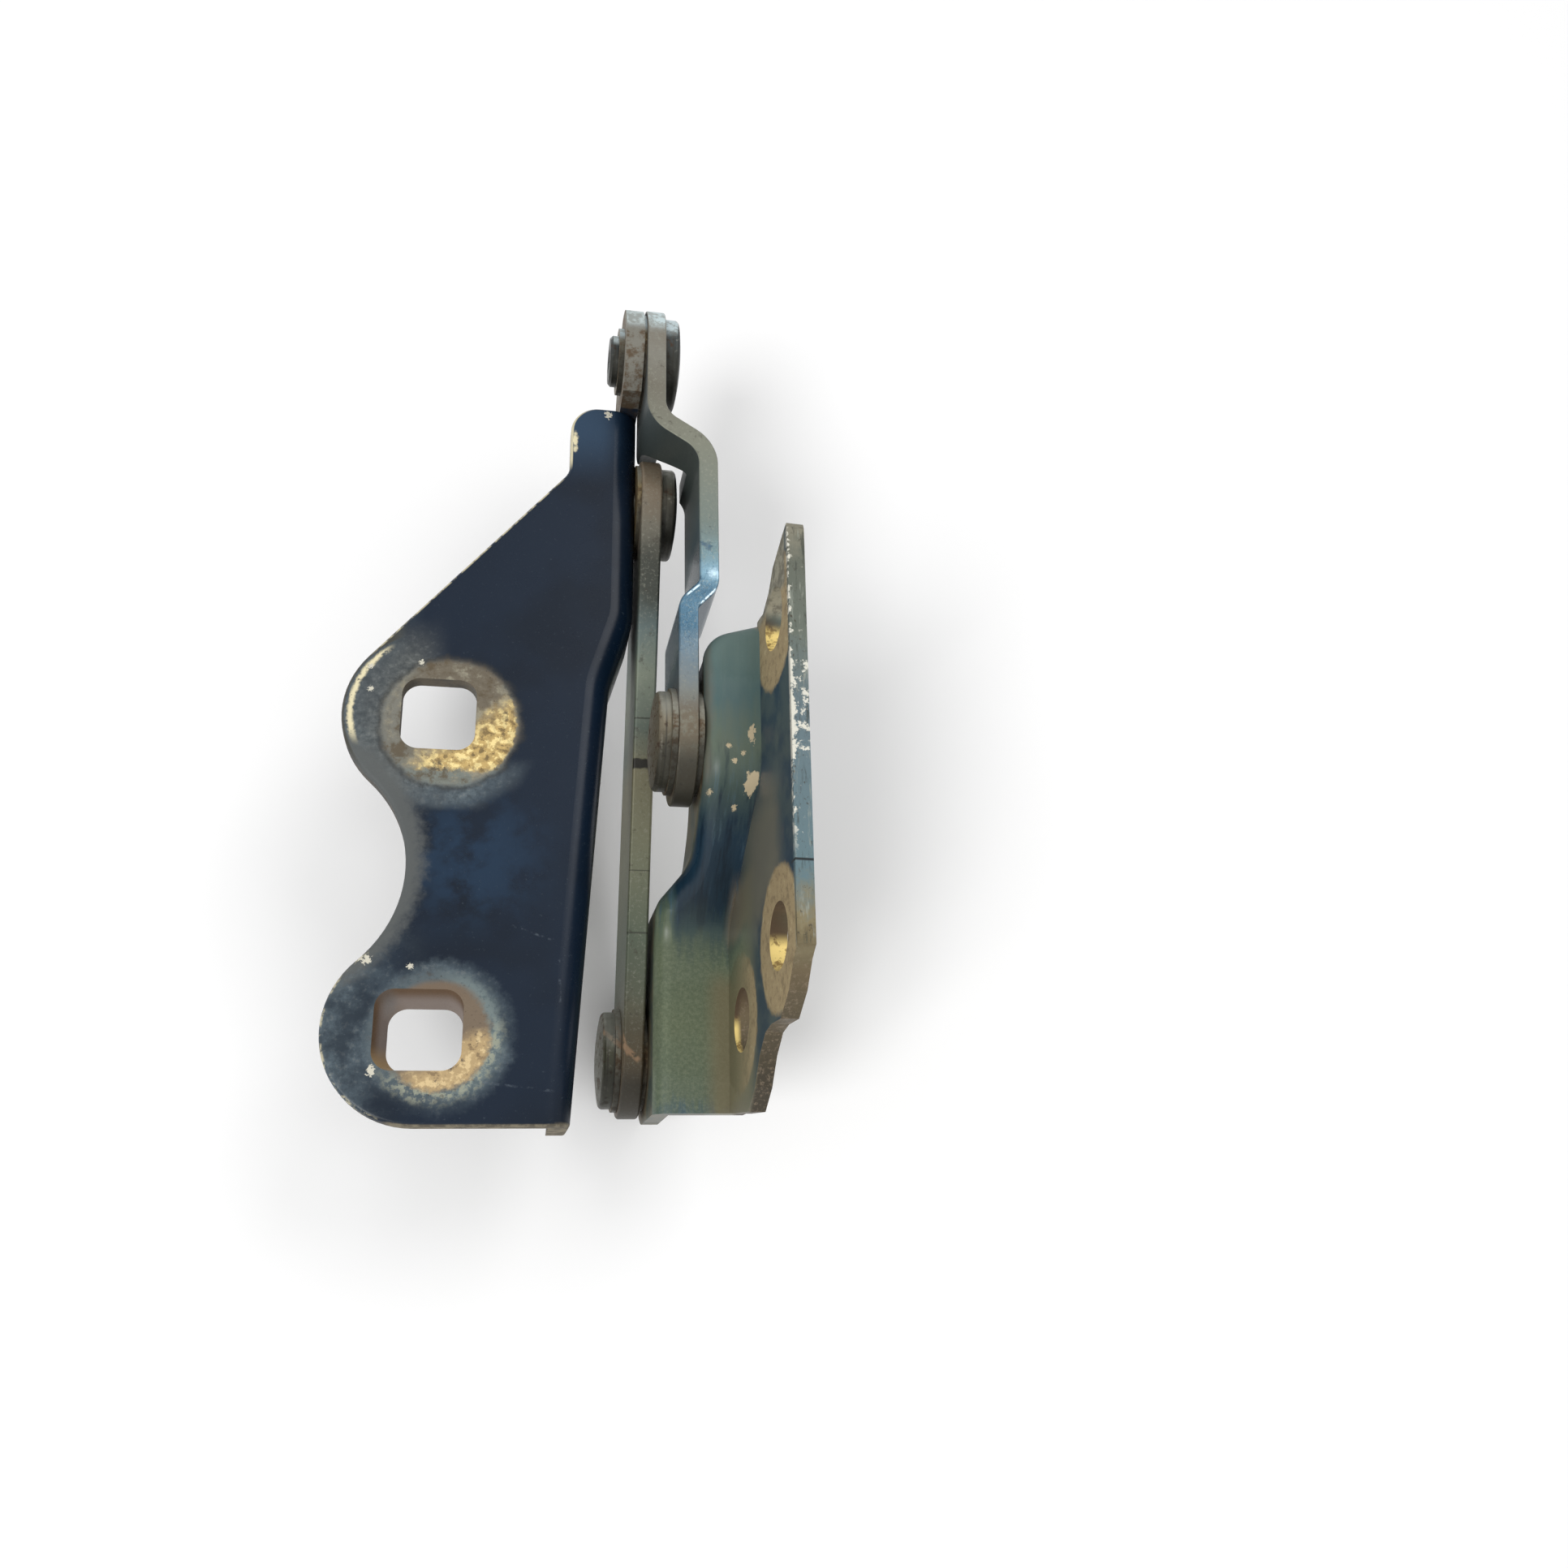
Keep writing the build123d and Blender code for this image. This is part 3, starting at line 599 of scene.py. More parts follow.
def bare_ear(s, paint):
    """The ear at A is bare metal, brown in spots, from a little further forward at its top, with painted
    highlights at its rear end.
    """
    place = s.frayed(s.add(s.y, s.mul(s.step(s.z, 4, 5.5), 4)), s.speck, 1.5)
    ear = s.step(place, 94.5, 96.5)
    metal = s.layered(
        EAR_GREY,
        (EAR_BROWN, s.step(s.mixed(s.speck, s.blotch, 0.5), 0.66, 0.86)),
        (EAR_GLINT, painted_highlights_at_a(s)),
    )
    return s.blend(paint, metal, ear), ear


BODY_SHINE = 0.22
COAT_ROUGHNESS = 0.28
DUST_ROUGHNESS = 0.45
WORN_ROUGHNESS = 0.62
SIDE_ROUGHNESS = 0.9


def body_paint():
    """Dark navy paint, dulled and chipped along the lobes, worn to metal at the holes, with painted
    highlights along the rims.
    """
    s = Shader("body_paint", grain=(0.7, 0), speck=(1.8, 5), blotch=(7, 3))
    mottle = s.noise(3.6, seed=14, detail=6, rough=0.7)
    leaf = s.noise(1.5, seed=23, detail=5, rough=0.65)
    side = s.step(s.up, 0.3, -0.2)
    paint, dust = dusted(s, navy_coat(s))
    paint, notch = worn_notch(s, paint)
    paint, rear = rear_mark(s, paint, mottle, leaf)
    paint, front = front_mark(s, paint, mottle, leaf)
    paint = hole_walls(s, paint)
    paint, rim_highlight = rim_highlights(s, paint)
    paint = chipped(s, paint)
    paint, front_edge = bare_edges(s, paint, side)
    paint, ear = bare_ear(s, paint)

    # The worn areas take in the painted rim highlights too, for relief and finish
    worn = s.either(rear, front, notch, rim_highlight, ear, front_edge)
    relief = s.mul(s.add(s.grain, mottle), s.add(0.04, s.mul(worn, 0.6)))
    s.bump(s.add(relief, s.mul(worn, -0.4)), strength=0.5, depth=0.3)
    s.surface.inputs["Specular IOR Level"].default_value = BODY_SHINE
    rough = s.level(s.level(COAT_ROUGHNESS, DUST_ROUGHNESS, dust), WORN_ROUGHNESS, worn)
    rough = s.level(rough, SIDE_ROUGHNESS, s.both(side, s.step(s.y, 60, -40)))
    rough = s.add(rough, s.mul(s.add(s.blotch, -0.5), 0.15))
    return s.finish(paint, rough, s.mul(worn, 0.25))


# Hood bracket: the shelf's paint from front to rear, and what lies over it
SHELF_ALONG_Y = [
    (-41, colour(70, 92, 100)),
    (-38, colour(92, 104, 86)),
    (-24, colour(100, 110, 86)),
    (-13, colour(94, 106, 85)),
    # From -8 to 13 the darker navy on the slope is partly painted shade of its incline
    (-8, colour(56, 74, 72)),
    (-3, colour(20, 42, 56)),
    (6, colour(28, 50, 66)),
    (13, colour(62, 78, 74)),
    (20, colour(92, 104, 90)),
    (28, colour(74, 98, 98)),
    (41, colour(92, 112, 108)),
]
STREAK_DARK = colour(14, 30, 42)
STREAK_PALE = colour(70, 96, 110)
OLIVE_PALE = colour(130, 136, 112)
OLIVE_DARK = colour(60, 70, 52)
SHELF_TAN = colour(124, 112, 84)
OUTER_BEND = colour(106, 100, 88)
SMEAR = colour(128, 114, 88)
SLOPE_FRONT_Y = -8
SLOPE_REAR_Y = 18


def shelf_paint(s, streak):
    """Olive at the front and rear, navy and streaked on the slope between, the navy partly painted shade
    of its incline, and brown at the bends.
    """
    outboard = s.both(s.step(s.x, 44.5, 42.5), s.band(s.y, -16, 4, 3))
    place = s.frayed(s.frayed(s.y, streak, 6), s.blotch, 3.5)
    place = s.add(place, s.mul(outboard, -8))
    slope = s.band(s.y, SLOPE_FRONT_Y, SLOPE_REAR_Y, 4)
    front = s.step(s.y, -6, -14)
    tan_side = s.both(s.step(s.x, 48.5, 52.5), s.step(s.frayed(s.y, s.blotch, 4), -12, -20), 0.65)
    bend = s.both(s.step(s.frayed(s.x, s.blotch, 1.2), 47.6, 45.6), s.step(s.y, 9, 16))
    smear = s.both(s.step(s.x, 52.5, 54.5), s.band(s.frayed(s.y, streak, 5), -10, 0, 2), 0.6)
    return s.layered(
        s.ramp(place, SHELF_ALONG_Y),
        (STREAK_DARK, s.both(s.step(streak, 0.52, 0.36), slope, 0.7)),
        (STREAK_PALE, s.both(s.step(streak, 0.56, 0.7), slope, 0.5)),
        (OLIVE_PALE, s.both(s.step(s.grain, 0.48, 0.62), front, 0.3)),
        (OLIVE_DARK, s.both(s.step(s.grain, 0.5, 0.38), front, 0.22)),
        (SHELF_TAN, tan_side),
        (OUTER_BEND, s.both(bend, s.step(s.up, 0.1, 0.5), 0.65)),
        (SMEAR, smear),
    )


# Hood bracket: flange, washer marks and bores
FACE_NAVY = colour(34, 52, 66)
FACE_SLATE = colour(60, 72, 74)
FACE_WORN = colour(108, 104, 88)
FACE_GREEN = colour(104, 104, 84)
MARK_TAN = colour(160, 142, 108)
MARK_BROWN = colour(132, 116, 88)
MARK_PALE = colour(182, 168, 132)
BORE_RADIUS = 6.4
# Painted shade on the bores' walls that don't face the rear and up
BORE_SHADE = colour(78, 62, 44)
BRASS = colour(236, 210, 132)
BRASS_DARK = colour(150, 124, 72)


def flange_face(s, paint):
    """Slate between tan washer marks, worn brown below the ridge and green at the foot; the
    same on its back."""
    flange = s.both(s.step(s.x, 54, 55.2), s.step(s.size(s.up), 0.7, 0.4))
    middle = s.band(s.frayed(s.y, s.blotch, 6), -12, 10, 5)
    marks = s.either(*[
        s.blot(mark, MARK_RADIUS, 0.6, s.speck, 1.4, FROM_THE_SIDE) for mark in HOOD_MARKS
    ])
    mark_colour = s.layered(
        MARK_TAN,
        (MARK_BROWN, s.step(s.speck, 0.5, 0.38)),
        (MARK_PALE, s.step(s.speck, 0.58, 0.68)),
    )
    face = s.layered(
        FACE_NAVY,
        (FACE_SLATE, s.step(s.blotch, 0.4, 0.62)),
        (FACE_WORN, s.both(middle, s.step(s.frayed(s.z, s.blotch, 6), 33, 24), 0.75)),
        (FACE_GREEN, s.step(s.frayed(s.z, s.blotch, 5), 14, 4)),
        (mark_colour, marks),
    )
    return s.blend(paint, face, flange), marks


def bores(s, paint):
    """The bores' walls are brassy and painted as lit where they face the rear and up, and painted shade
    elsewhere.
    """
    holes = s.either(*[s.blot(mark, BORE_RADIUS, 0.3, along=FROM_THE_SIDE) for mark in HOOD_MARKS])
    walls = s.both(holes, s.step(s.size(s.facing(INBOARD)), 0.7, 0.4))
    brass = s.blend(BRASS, BRASS_DARK, s.step(s.speck, 0.5, 0.4))
    lit = s.both(s.step(s.facing(REARWARD), -0.35, 0.15), s.step(s.up, -0.2, 0.3))
    return s.blend(paint, s.blend(BORE_SHADE, brass, lit), walls)


# Hood bracket: ridge, torn front and cut edges
RIDGE_ALONG_Y = [
    (-22, colour(96, 84, 60)),
    (-16, colour(128, 118, 90)),
    (-8, colour(96, 118, 124)),
    (18, colour(98, 114, 120)),
    (32, colour(100, 107, 98)),
    (45, colour(96, 100, 90)),
    (52, colour(132, 128, 112)),
]
RIDGE_STAIN = colour(66, 60, 50)
RIDGE_DARK_LINES = colour(56, 60, 54)
RIDGE_PALE_LINES = colour(148, 152, 142)
RIDGE_CHIPS = colour(208, 206, 194)
CRACK = colour(40, 44, 46)
RUST_ALONG_Y = [
    (-36, colour(62, 56, 44)),
    (-28, colour(88, 78, 58)),
    (-20, colour(112, 98, 74)),
]
RUST_PALE = colour(140, 124, 104)
REAR_CUT = colour(112, 108, 94)
REAR_CUT_PALE = colour(152, 148, 130)


def bare_ridge(s, paint):
    """Bare grey-blue metal with drawn lines and pale rough chips, brown at the front."""
    ridge = s.both(s.step(s.z, 36.6, 37.6), s.step(s.frayed(s.y, s.speck, 2), -22, -19))
    drawn = s.noise(0.9, seed=26, detail=5, rough=0.7, stretch=(1, 0.12, 1))
    left = s.add(s.step(s.x, 57.6, 56.6), s.mul(s.band(s.y, 10, 28, 4), 0.9))
    chips = s.both(s.step(s.mixed(s.speck, left, 0.14), 0.64, 0.7), s.step(s.y, -8, 2))
    metal = s.layered(
        s.ramp(s.frayed(s.y, s.speck, 6), RIDGE_ALONG_Y),
        (RIDGE_STAIN, s.step(s.mixed(s.grain, s.speck, 0.5), 0.66, 0.54)),
        (RIDGE_DARK_LINES, s.mul(s.step(drawn, 0.46, 0.34), 0.7)),
        (RIDGE_PALE_LINES, s.mul(s.step(drawn, 0.56, 0.68), 0.6)),
        (RIDGE_CHIPS, chips),
    )
    crack = s.both(s.band(s.y, -6.9, -6.5, 0.1), s.step(s.z, 35, 36))
    return s.layered(paint, (metal, ridge), (CRACK, crack)), ridge


def torn_front(s, paint):
    """The torn front outline below the ridge shows rust."""
    across = s.step(s.size(s.facing(INBOARD)), 0.7, 0.3)
    torn = s.both(s.step(s.y, -19, -24), s.step(s.x, 54.4, 55.4), across)
    rust = s.ramp(s.frayed(s.y, s.speck, 4), RUST_ALONG_Y)
    rust = s.blend(rust, RUST_PALE, s.mul(s.step(s.grain, 0.5, 0.64), 0.5))
    return s.blend(paint, rust, torn), torn


def bare_rear_cut(s, paint):
    """The flange's rear cut edge is bare."""
    cut = s.both(s.step(s.y, 41, 43), s.step(s.x, 54.4, 55.4), s.step(s.z, 37, 35))
    metal = s.blend(REAR_CUT, REAR_CUT_PALE, s.step(s.speck, 0.42, 0.6))
    return s.blend(paint, metal, cut), cut


# Hood bracket: chips by the slope's head, and the web with its bosses
BEND_CHIPS = colour(196, 180, 148)
BEND_FLECKS = [(50.7, 16.4), (51.5, 9.7), (46.9, 11.8), (52.2, 17.8), (49.7, 19)]
REAR_CHIP_AT = (53.9, 21.4, 0)
MIDDLE_CHIP_AT = (53.8, 13, 0)
FRONT_CHIP_AT = (56, -31.5, 0)
FRONT_CHIP = colour(214, 206, 190)
BOSS_RADIUS = 11.5
WEB_GREEN = colour(58, 68, 62)
WEB_BROWN = colour(88, 84, 66)
BOSS = colour(96, 88, 68)
BOSS_DARK = colour(70, 56, 42)


def chips_by_bend(s, paint):
    """Two torn chips on the bend by the slope's head, flecks beside them and one chip in front."""
    torn_paint = s.noise(2.6, seed=21, detail=6, rough=0.7, stretch=(1, 0.5, 0.5))
    rear_chip = s.blot(REAR_CHIP_AT, 1.4, 1.6, along=(1, 0.45, 0))
    middle_chip = s.blot(MIDDLE_CHIP_AT, 1.7, 1.8, along=(1, 0.7, 0))
    torn = s.mixed(torn_paint, s.either(rear_chip, middle_chip), 0.5)
    chips = s.both(s.step(torn, 0.85, 0.88), s.step(s.facing(OUTBOARD_AND_UP), 0.3, 0.5))
    flecks = s.both(s.spots(BEND_FLECKS, 0.4), s.step(s.up, 0.3, 0.6))
    chips = s.either(chips, flecks)
    front_chip = s.both(s.blot(FRONT_CHIP_AT, 1.0, 0.3, s.speck, 0.8), s.step(s.z, 24, 27))
    return s.layered(paint, (BEND_CHIPS, chips), (FRONT_CHIP, front_chip)), chips


def bare_web(s, paint):
    """The web is dull, and its bosses at C and D are bare and brown."""
    web = s.both(s.step(s.x, 50, 49), s.step(s.up, 0.3, 0.1))
    bosses = s.either(*[
        s.blot(PIVOTS[name], BOSS_RADIUS, 1.5, s.speck, 2, FROM_THE_SIDE) for name in "CD"
    ])
    bosses = s.both(web, bosses)
    web_colour = s.blend(WEB_GREEN, WEB_BROWN, s.step(s.blotch, 0.4, 0.6))
    boss_colour = s.blend(BOSS, BOSS_DARK, s.step(s.speck, 0.4, 0.6))
    return s.layered(paint, (web_colour, web), (boss_colour, bosses)), bosses


HOOD_SHINE = 0.35
HOOD_ROUGHNESS = 0.4
SLOPE_ROUGHNESS = 0.26
HOOD_WORN_ROUGHNESS = 0.58


def hood_paint():
    """Olive to navy paint by place, the slope's navy partly painted shade, streaked on the slope,
    chipped along the ridge.
    """
    s = Shader("hood_paint", grain=(0.7, 4), speck=(1.8, 7), blotch=(6, 1))
    streak = s.noise(1.8, seed=8, detail=6, rough=0.65, stretch=(1, 0.1, 0.1))
    paint, marks = flange_face(s, shelf_paint(s, streak))
    paint = bores(s, paint)
    paint, ridge = bare_ridge(s, paint)
    paint, torn = torn_front(s, paint)
    paint, rear_cut = bare_rear_cut(s, paint)
    paint, chips = chips_by_bend(s, paint)
    paint, bosses = bare_web(s, paint)

    worn = s.either(marks, ridge, torn, rear_cut, chips, bosses)
    relief = s.mul(s.grain, s.add(0.08, s.mul(worn, 0.6)))
    s.bump(s.add(relief, s.mul(streak, 0.25)), strength=0.35, depth=0.25)
    s.surface.inputs["Specular IOR Level"].default_value = HOOD_SHINE
    gloss = s.both(s.band(s.y, SLOPE_FRONT_Y, 10, 3), s.step(s.up, 0.2, 0.5))
    rough = s.level(s.level(HOOD_ROUGHNESS, SLOPE_ROUGHNESS, gloss), HOOD_WORN_ROUGHNESS, worn)
    return s.finish(paint, rough, s.mul(s.either(ridge, s.mul(worn, 0.5)), 0.5))


# Links: colours of their edges, and the painted shade of the upper link's broad faces, from front to
# rear
UPPER_LINK_ALONG_Y = [
    (12, colour(112, 104, 84)),
    (25, colour(122, 120, 106)),
    (33, colour(112, 124, 130)),
    (42, colour(60, 92, 112)),
    (47, colour(70, 102, 122)),
    (49, colour(60, 92, 112)),
    # The paler stop at 53 is a painted highlight on the crank's bend
    (53, colour(110, 142, 158)),
    (57, colour(94, 116, 120)),
    (63, colour(106, 118, 112)),
    (80, colour(118, 120, 106)),
    (93, colour(106, 102, 90)),
    (100, colour(122, 120, 110)),
]
LOWER_LINK_ALONG_Y = [
    (-39, colour(70, 58, 42)),
    (-28, colour(92, 80, 56)),
    (-18, colour(84, 88, 72)),
    (-8, colour(84, 94, 78)),
    (6, colour(112, 114, 92)),
    (22, colour(122, 118, 94)),
    (30, colour(94, 104, 94)),
    (40, colour(126, 134, 118)),
    (49, colour(92, 106, 104)),
    # The dark stretch from 55 to 62 is a painted shadow cast by the head at B and the upper link
    (55, colour(58, 62, 55)),
    (62, colour(56, 58, 50)),
    (68, colour(100, 96, 84)),
    (78, colour(122, 110, 92)),
]
UPPER_FACES_SHADE_ALONG_Y = [
    (20, colour(70, 66, 54)),
    (40, colour(34, 62, 82)),
    (60, colour(40, 64, 76)),
    (72, colour(50, 60, 60)),
    (90, colour(44, 56, 60)),
]
ZINC_PALE = colour(150, 150, 136)
ZINC_STAIN = colour(58, 52, 42)
LINE_DARK = colour(40, 38, 32)
LINK_RUST = colour(98, 76, 54)
LINK_FRONT_FACING_SHADE = colour(42, 40, 32)
LINK_REAR_FACING_HIGHLIGHT = colour(150, 150, 142)
LINK_GLINT = colour(196, 212, 214)
CRANK_DEEP = colour(44, 88, 118)
# Painted highlights on the crank: lines along its edges and a spot at its upper bend
CRANK_HIGHLIGHT = colour(206, 228, 240)
CRANK_HIGHLIGHT_LINES = [((44.8, 50.2), (42.6, 48.1), 0.25), ((47.8, 49.6), (45.1, 46.5), 0.28)]
CRANK_GLARE = (47.4, 52.8, 0)
CRANK_FRONT_Y = 36
CRANK_REAR_Y = 60
LOWER_LINK_LINES = [(31.8, 32.1, 0.12), (3.8, 4.0, 0.1), (-7.5, -7.2, 0.1)]
LOWER_LINK_PATCH = (22.6, 24.4, 0.2)
RUST_RADIUS = 9.5
GRIME_RADIUS = 14
ZINC_ROUGHNESS = 0.46
CRANK_ROUGHNESS = 0.22
RUST_ROUGHNESS = 0.7


def on_lower_link(s):
    """The lower link is the flat one outboard of the other, and ends with its eye at B."""
    eye = s.distance(PIVOTS["B"], FROM_THE_SIDE)
    eye = s.step(eye, LOWER_EYE_RADIUS + 0.6, LOWER_EYE_RADIUS + 0.2)
    return s.both(s.step(s.x, 39.5, 39.3), s.either(s.step(s.y, 77, 76), eye))


def stained_zinc(s, place, is_lower, edge):
    """Each link's colours along its length, stained, with dark lines on the lower link's edge."""
    lines = s.either(*[s.band(s.y, *line) for line in LOWER_LINK_LINES])
    patch = s.band(s.frayed(s.y, s.speck, 0.5), *LOWER_LINK_PATCH)
    stain = s.step(s.mixed(s.speck, s.blotch, 0.4), 0.62, 0.5)
    return s.layered(
        s.ramp(place, UPPER_LINK_ALONG_Y),
        (s.ramp(place, LOWER_LINK_ALONG_Y), is_lower),
        (ZINC_PALE, s.mul(s.step(s.grain, 0.52, 0.66), 0.35)),
        (ZINC_STAIN, s.mul(stain, 0.55)),
        (LINE_DARK, s.both(s.either(s.mul(lines, 0.7), patch), is_lower, edge)),
    )


def shaded_faces(s, metal, place, is_lower):
    """The upper link's broad faces get painted shade, darker than its edges."""
    shaded_broad_faces = s.both(s.step(s.size(s.up), 0.6, 0.3), s.inverse(is_lower))
    return s.blend(metal, s.ramp(place, UPPER_FACES_SHADE_ALONG_Y), s.mul(shaded_broad_faces, 0.85))


def rusty_eyes(s, metal, is_lower):
    """Rust round the pivots, painted shade and highlights by facing on the front eyes, painted
    highlights at A and scuffs at D.
    """
    eye = {
        name: s.blot(pivot, RUST_RADIUS, 2.5, s.speck, 2.5, FROM_THE_SIDE)
        for name, pivot in PIVOTS.items()
    }
    eyes = s.level(s.either(eye["A"], eye["C"]), s.either(eye["B"], eye["D"]), is_lower)
    rust = s.both(eyes, s.step(s.mixed(s.speck, s.blotch, 0.5), 0.62, 0.84))
    front_eyes = s.level(
        s.blot(PIVOTS["C"], GRIME_RADIUS, 1.5, along=FROM_THE_SIDE),
        s.blot(PIVOTS["D"], GRIME_RADIUS, 1.5, along=FROM_THE_SIDE),
        is_lower,
    )
    # Painted shade on the front eyes' sides that face the front, and painted highlights on the upper
    # one's sides that face the rear and up
    front_shade = s.both(front_eyes, s.step(s.facing(FRONTWARD), -0.1, 0.6), 0.85)
    rear_highlight = s.both(front_eyes, s.step(s.facing(REAR_AND_UP), 0.6, 0.95), s.inverse(is_lower), 0.5)
    metal = s.layered(
        metal,
        (LINK_RUST, rust),
        (LINK_FRONT_FACING_SHADE, front_shade),
        (LINK_REAR_FACING_HIGHLIGHT, rear_highlight),
        (LINK_GLINT, painted_highlights_at_a(s)),
        (SCUFF_BROWN, scuffs_at_d(s)),
    )
    return metal, rust


def blue_crank(s, metal, place, edge):
    """The upper link's crank: deep blue in spots, with painted highlights along its edges and at its
    upper bend.
    """
    blue = s.both(s.band(place, CRANK_FRONT_Y, CRANK_REAR_Y, 3), s.step(s.x, 39.5, 40.5))
    glare = s.mul(s.blot(CRANK_GLARE, 0.6, 0.9, s.grain, 1.6), 0.75)
    crank_highlight = s.either(s.mul(s.scratches(CRANK_HIGHLIGHT_LINES), s.step(s.speck, 0.4, 0.5)), glare)
    metal = s.layered(
        metal,
        (CRANK_DEEP, s.both(blue, s.step(s.speck, 0.46, 0.34), edge, 0.5)),
        (CRANK_HIGHLIGHT, s.both(crank_highlight, blue, edge, 0.85)),
    )
    return metal, blue


def link_zinc():
    """Olive-grey zinc by place along both links, bright blue at the upper link's crank."""
    s = Shader("link_zinc", grain=(0.6, 6), speck=(1.6, 3), blotch=(5, 12))
    place = s.frayed(s.y, s.blotch, 3)
    is_lower = on_lower_link(s)
    edge = s.step(s.up, 0.3, 0.6)
    metal = stained_zinc(s, place, is_lower, edge)
    metal = shaded_faces(s, metal, place, is_lower)
    metal, rust = rusty_eyes(s, metal, is_lower)
    metal, blue = blue_crank(s, metal, place, edge)
    s.bump(s.add(s.mul(s.grain, 0.4), s.mul(s.speck, 0.6)), strength=0.3, depth=0.2)
    rough = s.level(s.level(ZINC_ROUGHNESS, CRANK_ROUGHNESS, blue), RUST_ROUGHNESS, rust)
    return s.finish(metal, rough, s.level(0.3, 0.6, blue))


# Rivets, bushes and washers
RIVETS_ALONG_Y = [
    (PIVOTS["D"][1], colour(70, 70, 54)),
    (PIVOTS["C"][1], colour(112, 104, 86)),
    (PIVOTS["B"][1], colour(76, 72, 60)),
    (PIVOTS["A"][1], colour(48, 54, 54)),
]
RIVET_PALE = colour(160, 158, 146)
RIVET_RUST = colour(70, 52, 38)
RIVET_GROOVE = colour(48, 42, 34)
RIVET_INBOARD_SHADE = colour(38, 42, 42)
RIVET_UNDERSIDE_SHADE = colour(52, 46, 38)
RUST_PITS = colour(46, 40, 32)
BRONZE = colour(118, 104, 72)
BRONZE_DARK = colour(84, 66, 42)
WASHER_STEEL = colour(112, 108, 94)
WASHER_RUST = colour(88, 70, 50)
RIVET_ROUGHNESS = 0.4
SMALL_PART_ROUGHNESS = 0.42
STEEL_METALLIC = 0.45


def rivet_steel():
    """Dark steel: browner at B and C, bluer at A, with rust in spots and turned rings; painted shade on
    the heads' inboard sides and undersides, and painted shade and highlights by facing.
    """
    s = Shader("rivet_steel", grain=(0.6, 2), speck=(1.7, 9))
    side = s.step(s.size(s.facing(INBOARD)), 0.5, 0.3)
    groove = s.math("SINE", s.mul(s.x, 5.2))
    # Painted shade on the sides that face inboard at A and B, and on the undersides
    inboard = s.both(s.step(s.facing(INBOARD), 0.2, 0.7), s.step(s.y, 50, 60))
    steel = s.layered(
        s.ramp(s.y, RIVETS_ALONG_Y),
        (RIVET_PALE, s.mul(s.step(s.speck, 0.55, 0.7), 0.5)),
        (RIVET_RUST, s.step(s.speck, 0.46, 0.36)),
        (RIVET_GROOVE, s.both(side, s.step(groove, 0.55, 0.95), 0.7)),
        (RIVET_INBOARD_SHADE, s.mul(inboard, 0.75)),
        (RIVET_UNDERSIDE_SHADE, s.mul(s.step(s.up, -0.1, -0.5), 0.6)),
    )
    s.bump(s.add(s.mul(s.grain, 0.5), s.mul(s.both(groove, side), -0.15)), strength=0.35, depth=0.2)
    rough = s.level(RIVET_ROUGHNESS, RUST_ROUGHNESS, s.step(s.speck, 0.5, 0.36))
    return s.finish(weathered_shaded_and_lit(s, steel), rough, STEEL_METALLIC)


def rusty(name, clean, rust, seed):
    """A small bare part: clean metal, brown and dark in spots."""
    s = Shader(name, grain=(0.6, seed), speck=(1.5, seed + 4))
    spots = s.step(s.speck, 0.42, 0.6)
    metal = s.layered(clean, (rust, spots), (RUST_PITS, s.step(s.grain, 0.42, 0.3)))
    s.bump(s.add(s.grain, s.speck), strength=0.3, depth=0.15)
    rough = s.level(SMALL_PART_ROUGHNESS, RUST_ROUGHNESS, spots)
    # Painted shade on the sides that face the front and painted highlights on those that face the rear,
    # as on the rivets
    return s.finish(weathered_shaded_and_lit(s, metal), rough, STEEL_METALLIC)


def paint_nodes():
    finishes = {
        "body_paint": body_paint(),
        "hood_paint": hood_paint(),
        "link_zinc": link_zinc(),
        "rivet_steel": rivet_steel(),
        "bush_bronze": rusty("bush_bronze", BRONZE, BRONZE_DARK, seed=3),
        "washer_steel": rusty("washer_steel", WASHER_STEEL, WASHER_RUST, seed=8),
    }
    for part in frame["record"]["subparts"]:
        mesh = frame["nodes"][part["node"]].data
        finish = finishes[part["material_slot"]]
        for index in range(max(1, len(mesh.materials))):
            if mesh.materials:
                mesh.materials[index] = finish
            else:
                mesh.materials.append(finish)


def make_camera():
    turn = Euler([radians(angle) for angle in CAMERA_TURN], "XYZ").to_matrix()
    data = bpy.data.cameras.new("camera")
    data.sensor_width = SENSOR_WIDTH
    data.lens = SENSOR_WIDTH * FOCAL_PIXELS / IMAGE_PIXELS
    data.clip_start = NEAREST_SEEN
    camera = bpy.data.objects.new("camera", data)
    bpy.context.collection.objects.link(camera)
    back = turn.transposed()
    place = -(back @ Vector(CAMERA_OFFSET)) * MM
    camera.matrix_world = Matrix.Translation(place) @ back.to_4x4()
    bpy.context.scene.camera = camera


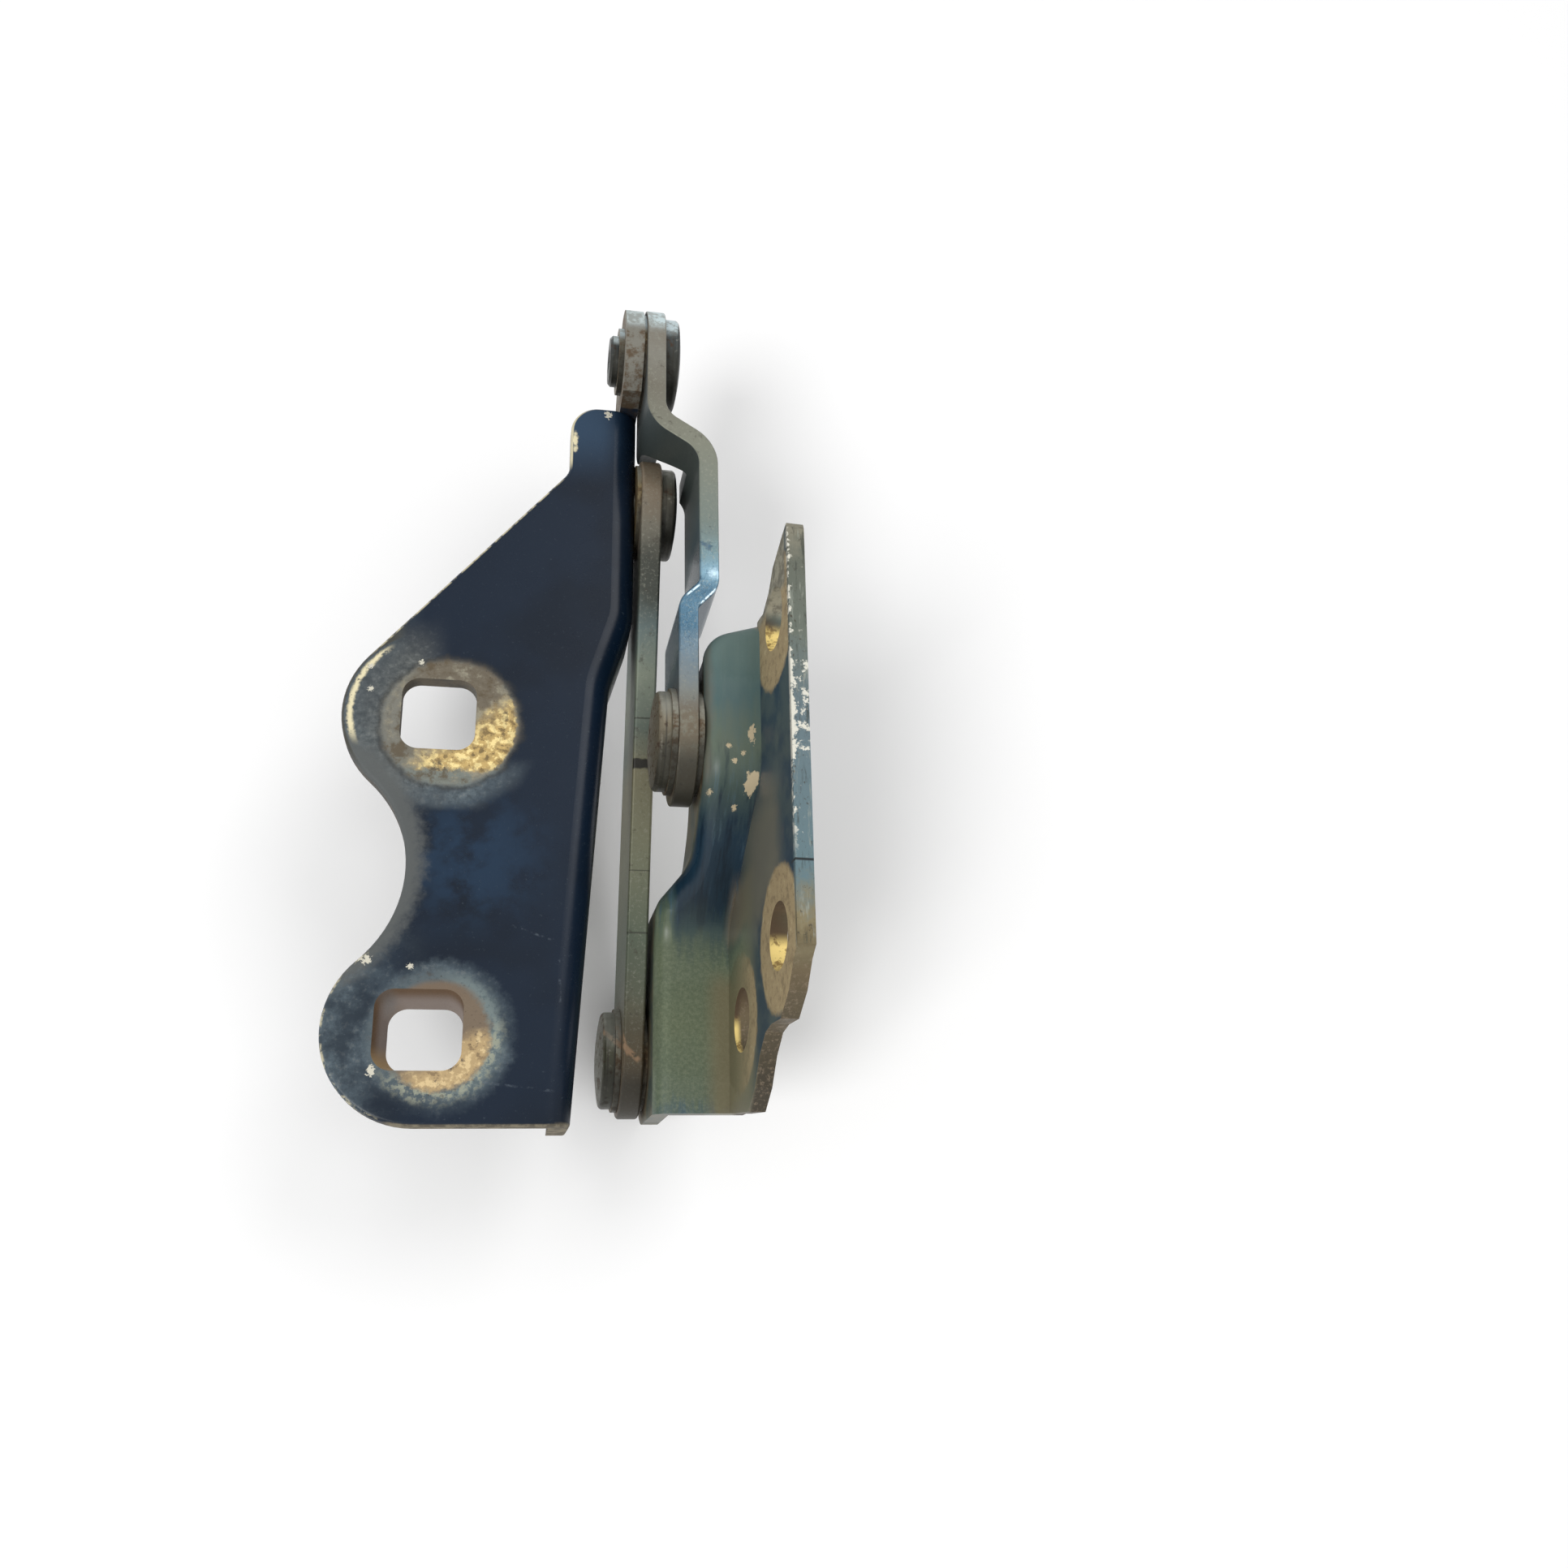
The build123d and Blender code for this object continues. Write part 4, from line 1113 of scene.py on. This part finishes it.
def make_floor():
    half = FLOOR_SIZE / 2
    corners = [(-half, -half, 0), (half, -half, 0), (half, half, 0), (-half, half, 0)]
    mesh = bpy.data.meshes.new("floor")
    mesh.from_pydata(corners, [], [(0, 1, 2, 3)])
    floor = bpy.data.objects.new("floor", mesh)
    floor.location.z = cad_box[0][2] - FLOOR_GAP
    bpy.context.collection.objects.link(floor)
    material = bpy.data.materials.new("floor")
    material.use_nodes = True
    surface = material.node_tree.nodes["Principled BSDF"]
    surface.inputs["Base Color"].default_value = FLOOR_COLOUR
    surface.inputs["Roughness"].default_value = FLOOR_ROUGHNESS
    mesh.materials.append(material)


def area_lamp(name, place, size, power):
    """A round lamp that points at the hinge."""
    data = bpy.data.lights.new(name, "AREA")
    data.shape = "DISK"
    data.size = size
    data.energy = power
    lamp = bpy.data.objects.new(name, data)
    lamp.location = place
    lamp.rotation_euler = (Vector(LAMP_TARGET) - Vector(place)).to_track_quat("-Z", "Y").to_euler()
    bpy.context.collection.objects.link(lamp)


def make_world():
    """White where it is seen, also in metal; dimmer where it lights the hinge."""
    world = bpy.data.worlds.new("world")
    bpy.context.scene.world = world
    world.use_nodes = True
    tree = world.node_tree
    background = tree.nodes["Background"]
    background.inputs["Color"].default_value = WORLD_COLOUR
    path = tree.nodes.new("ShaderNodeLightPath")
    seen = path.outputs["Is Camera Ray"]
    for ray in ("Is Glossy Ray", "Is Transmission Ray"):
        either = tree.nodes.new("ShaderNodeMath")
        either.operation = "MAXIMUM"
        tree.links.new(seen, either.inputs[0])
        tree.links.new(path.outputs[ray], either.inputs[1])
        seen = either.outputs[0]
    strength = tree.nodes.new("ShaderNodeMapRange")
    strength.inputs["To Min"].default_value = WORLD_STRENGTH
    tree.links.new(seen, strength.inputs["Value"])
    tree.links.new(strength.outputs["Result"], background.inputs["Strength"])


paint_nodes()
make_camera()
make_floor()
make_world()
for name, (place, size, power) in LAMPS.items():
    area_lamp(name, place, size, power)
bpy.context.scene.view_settings.view_transform = "Standard"
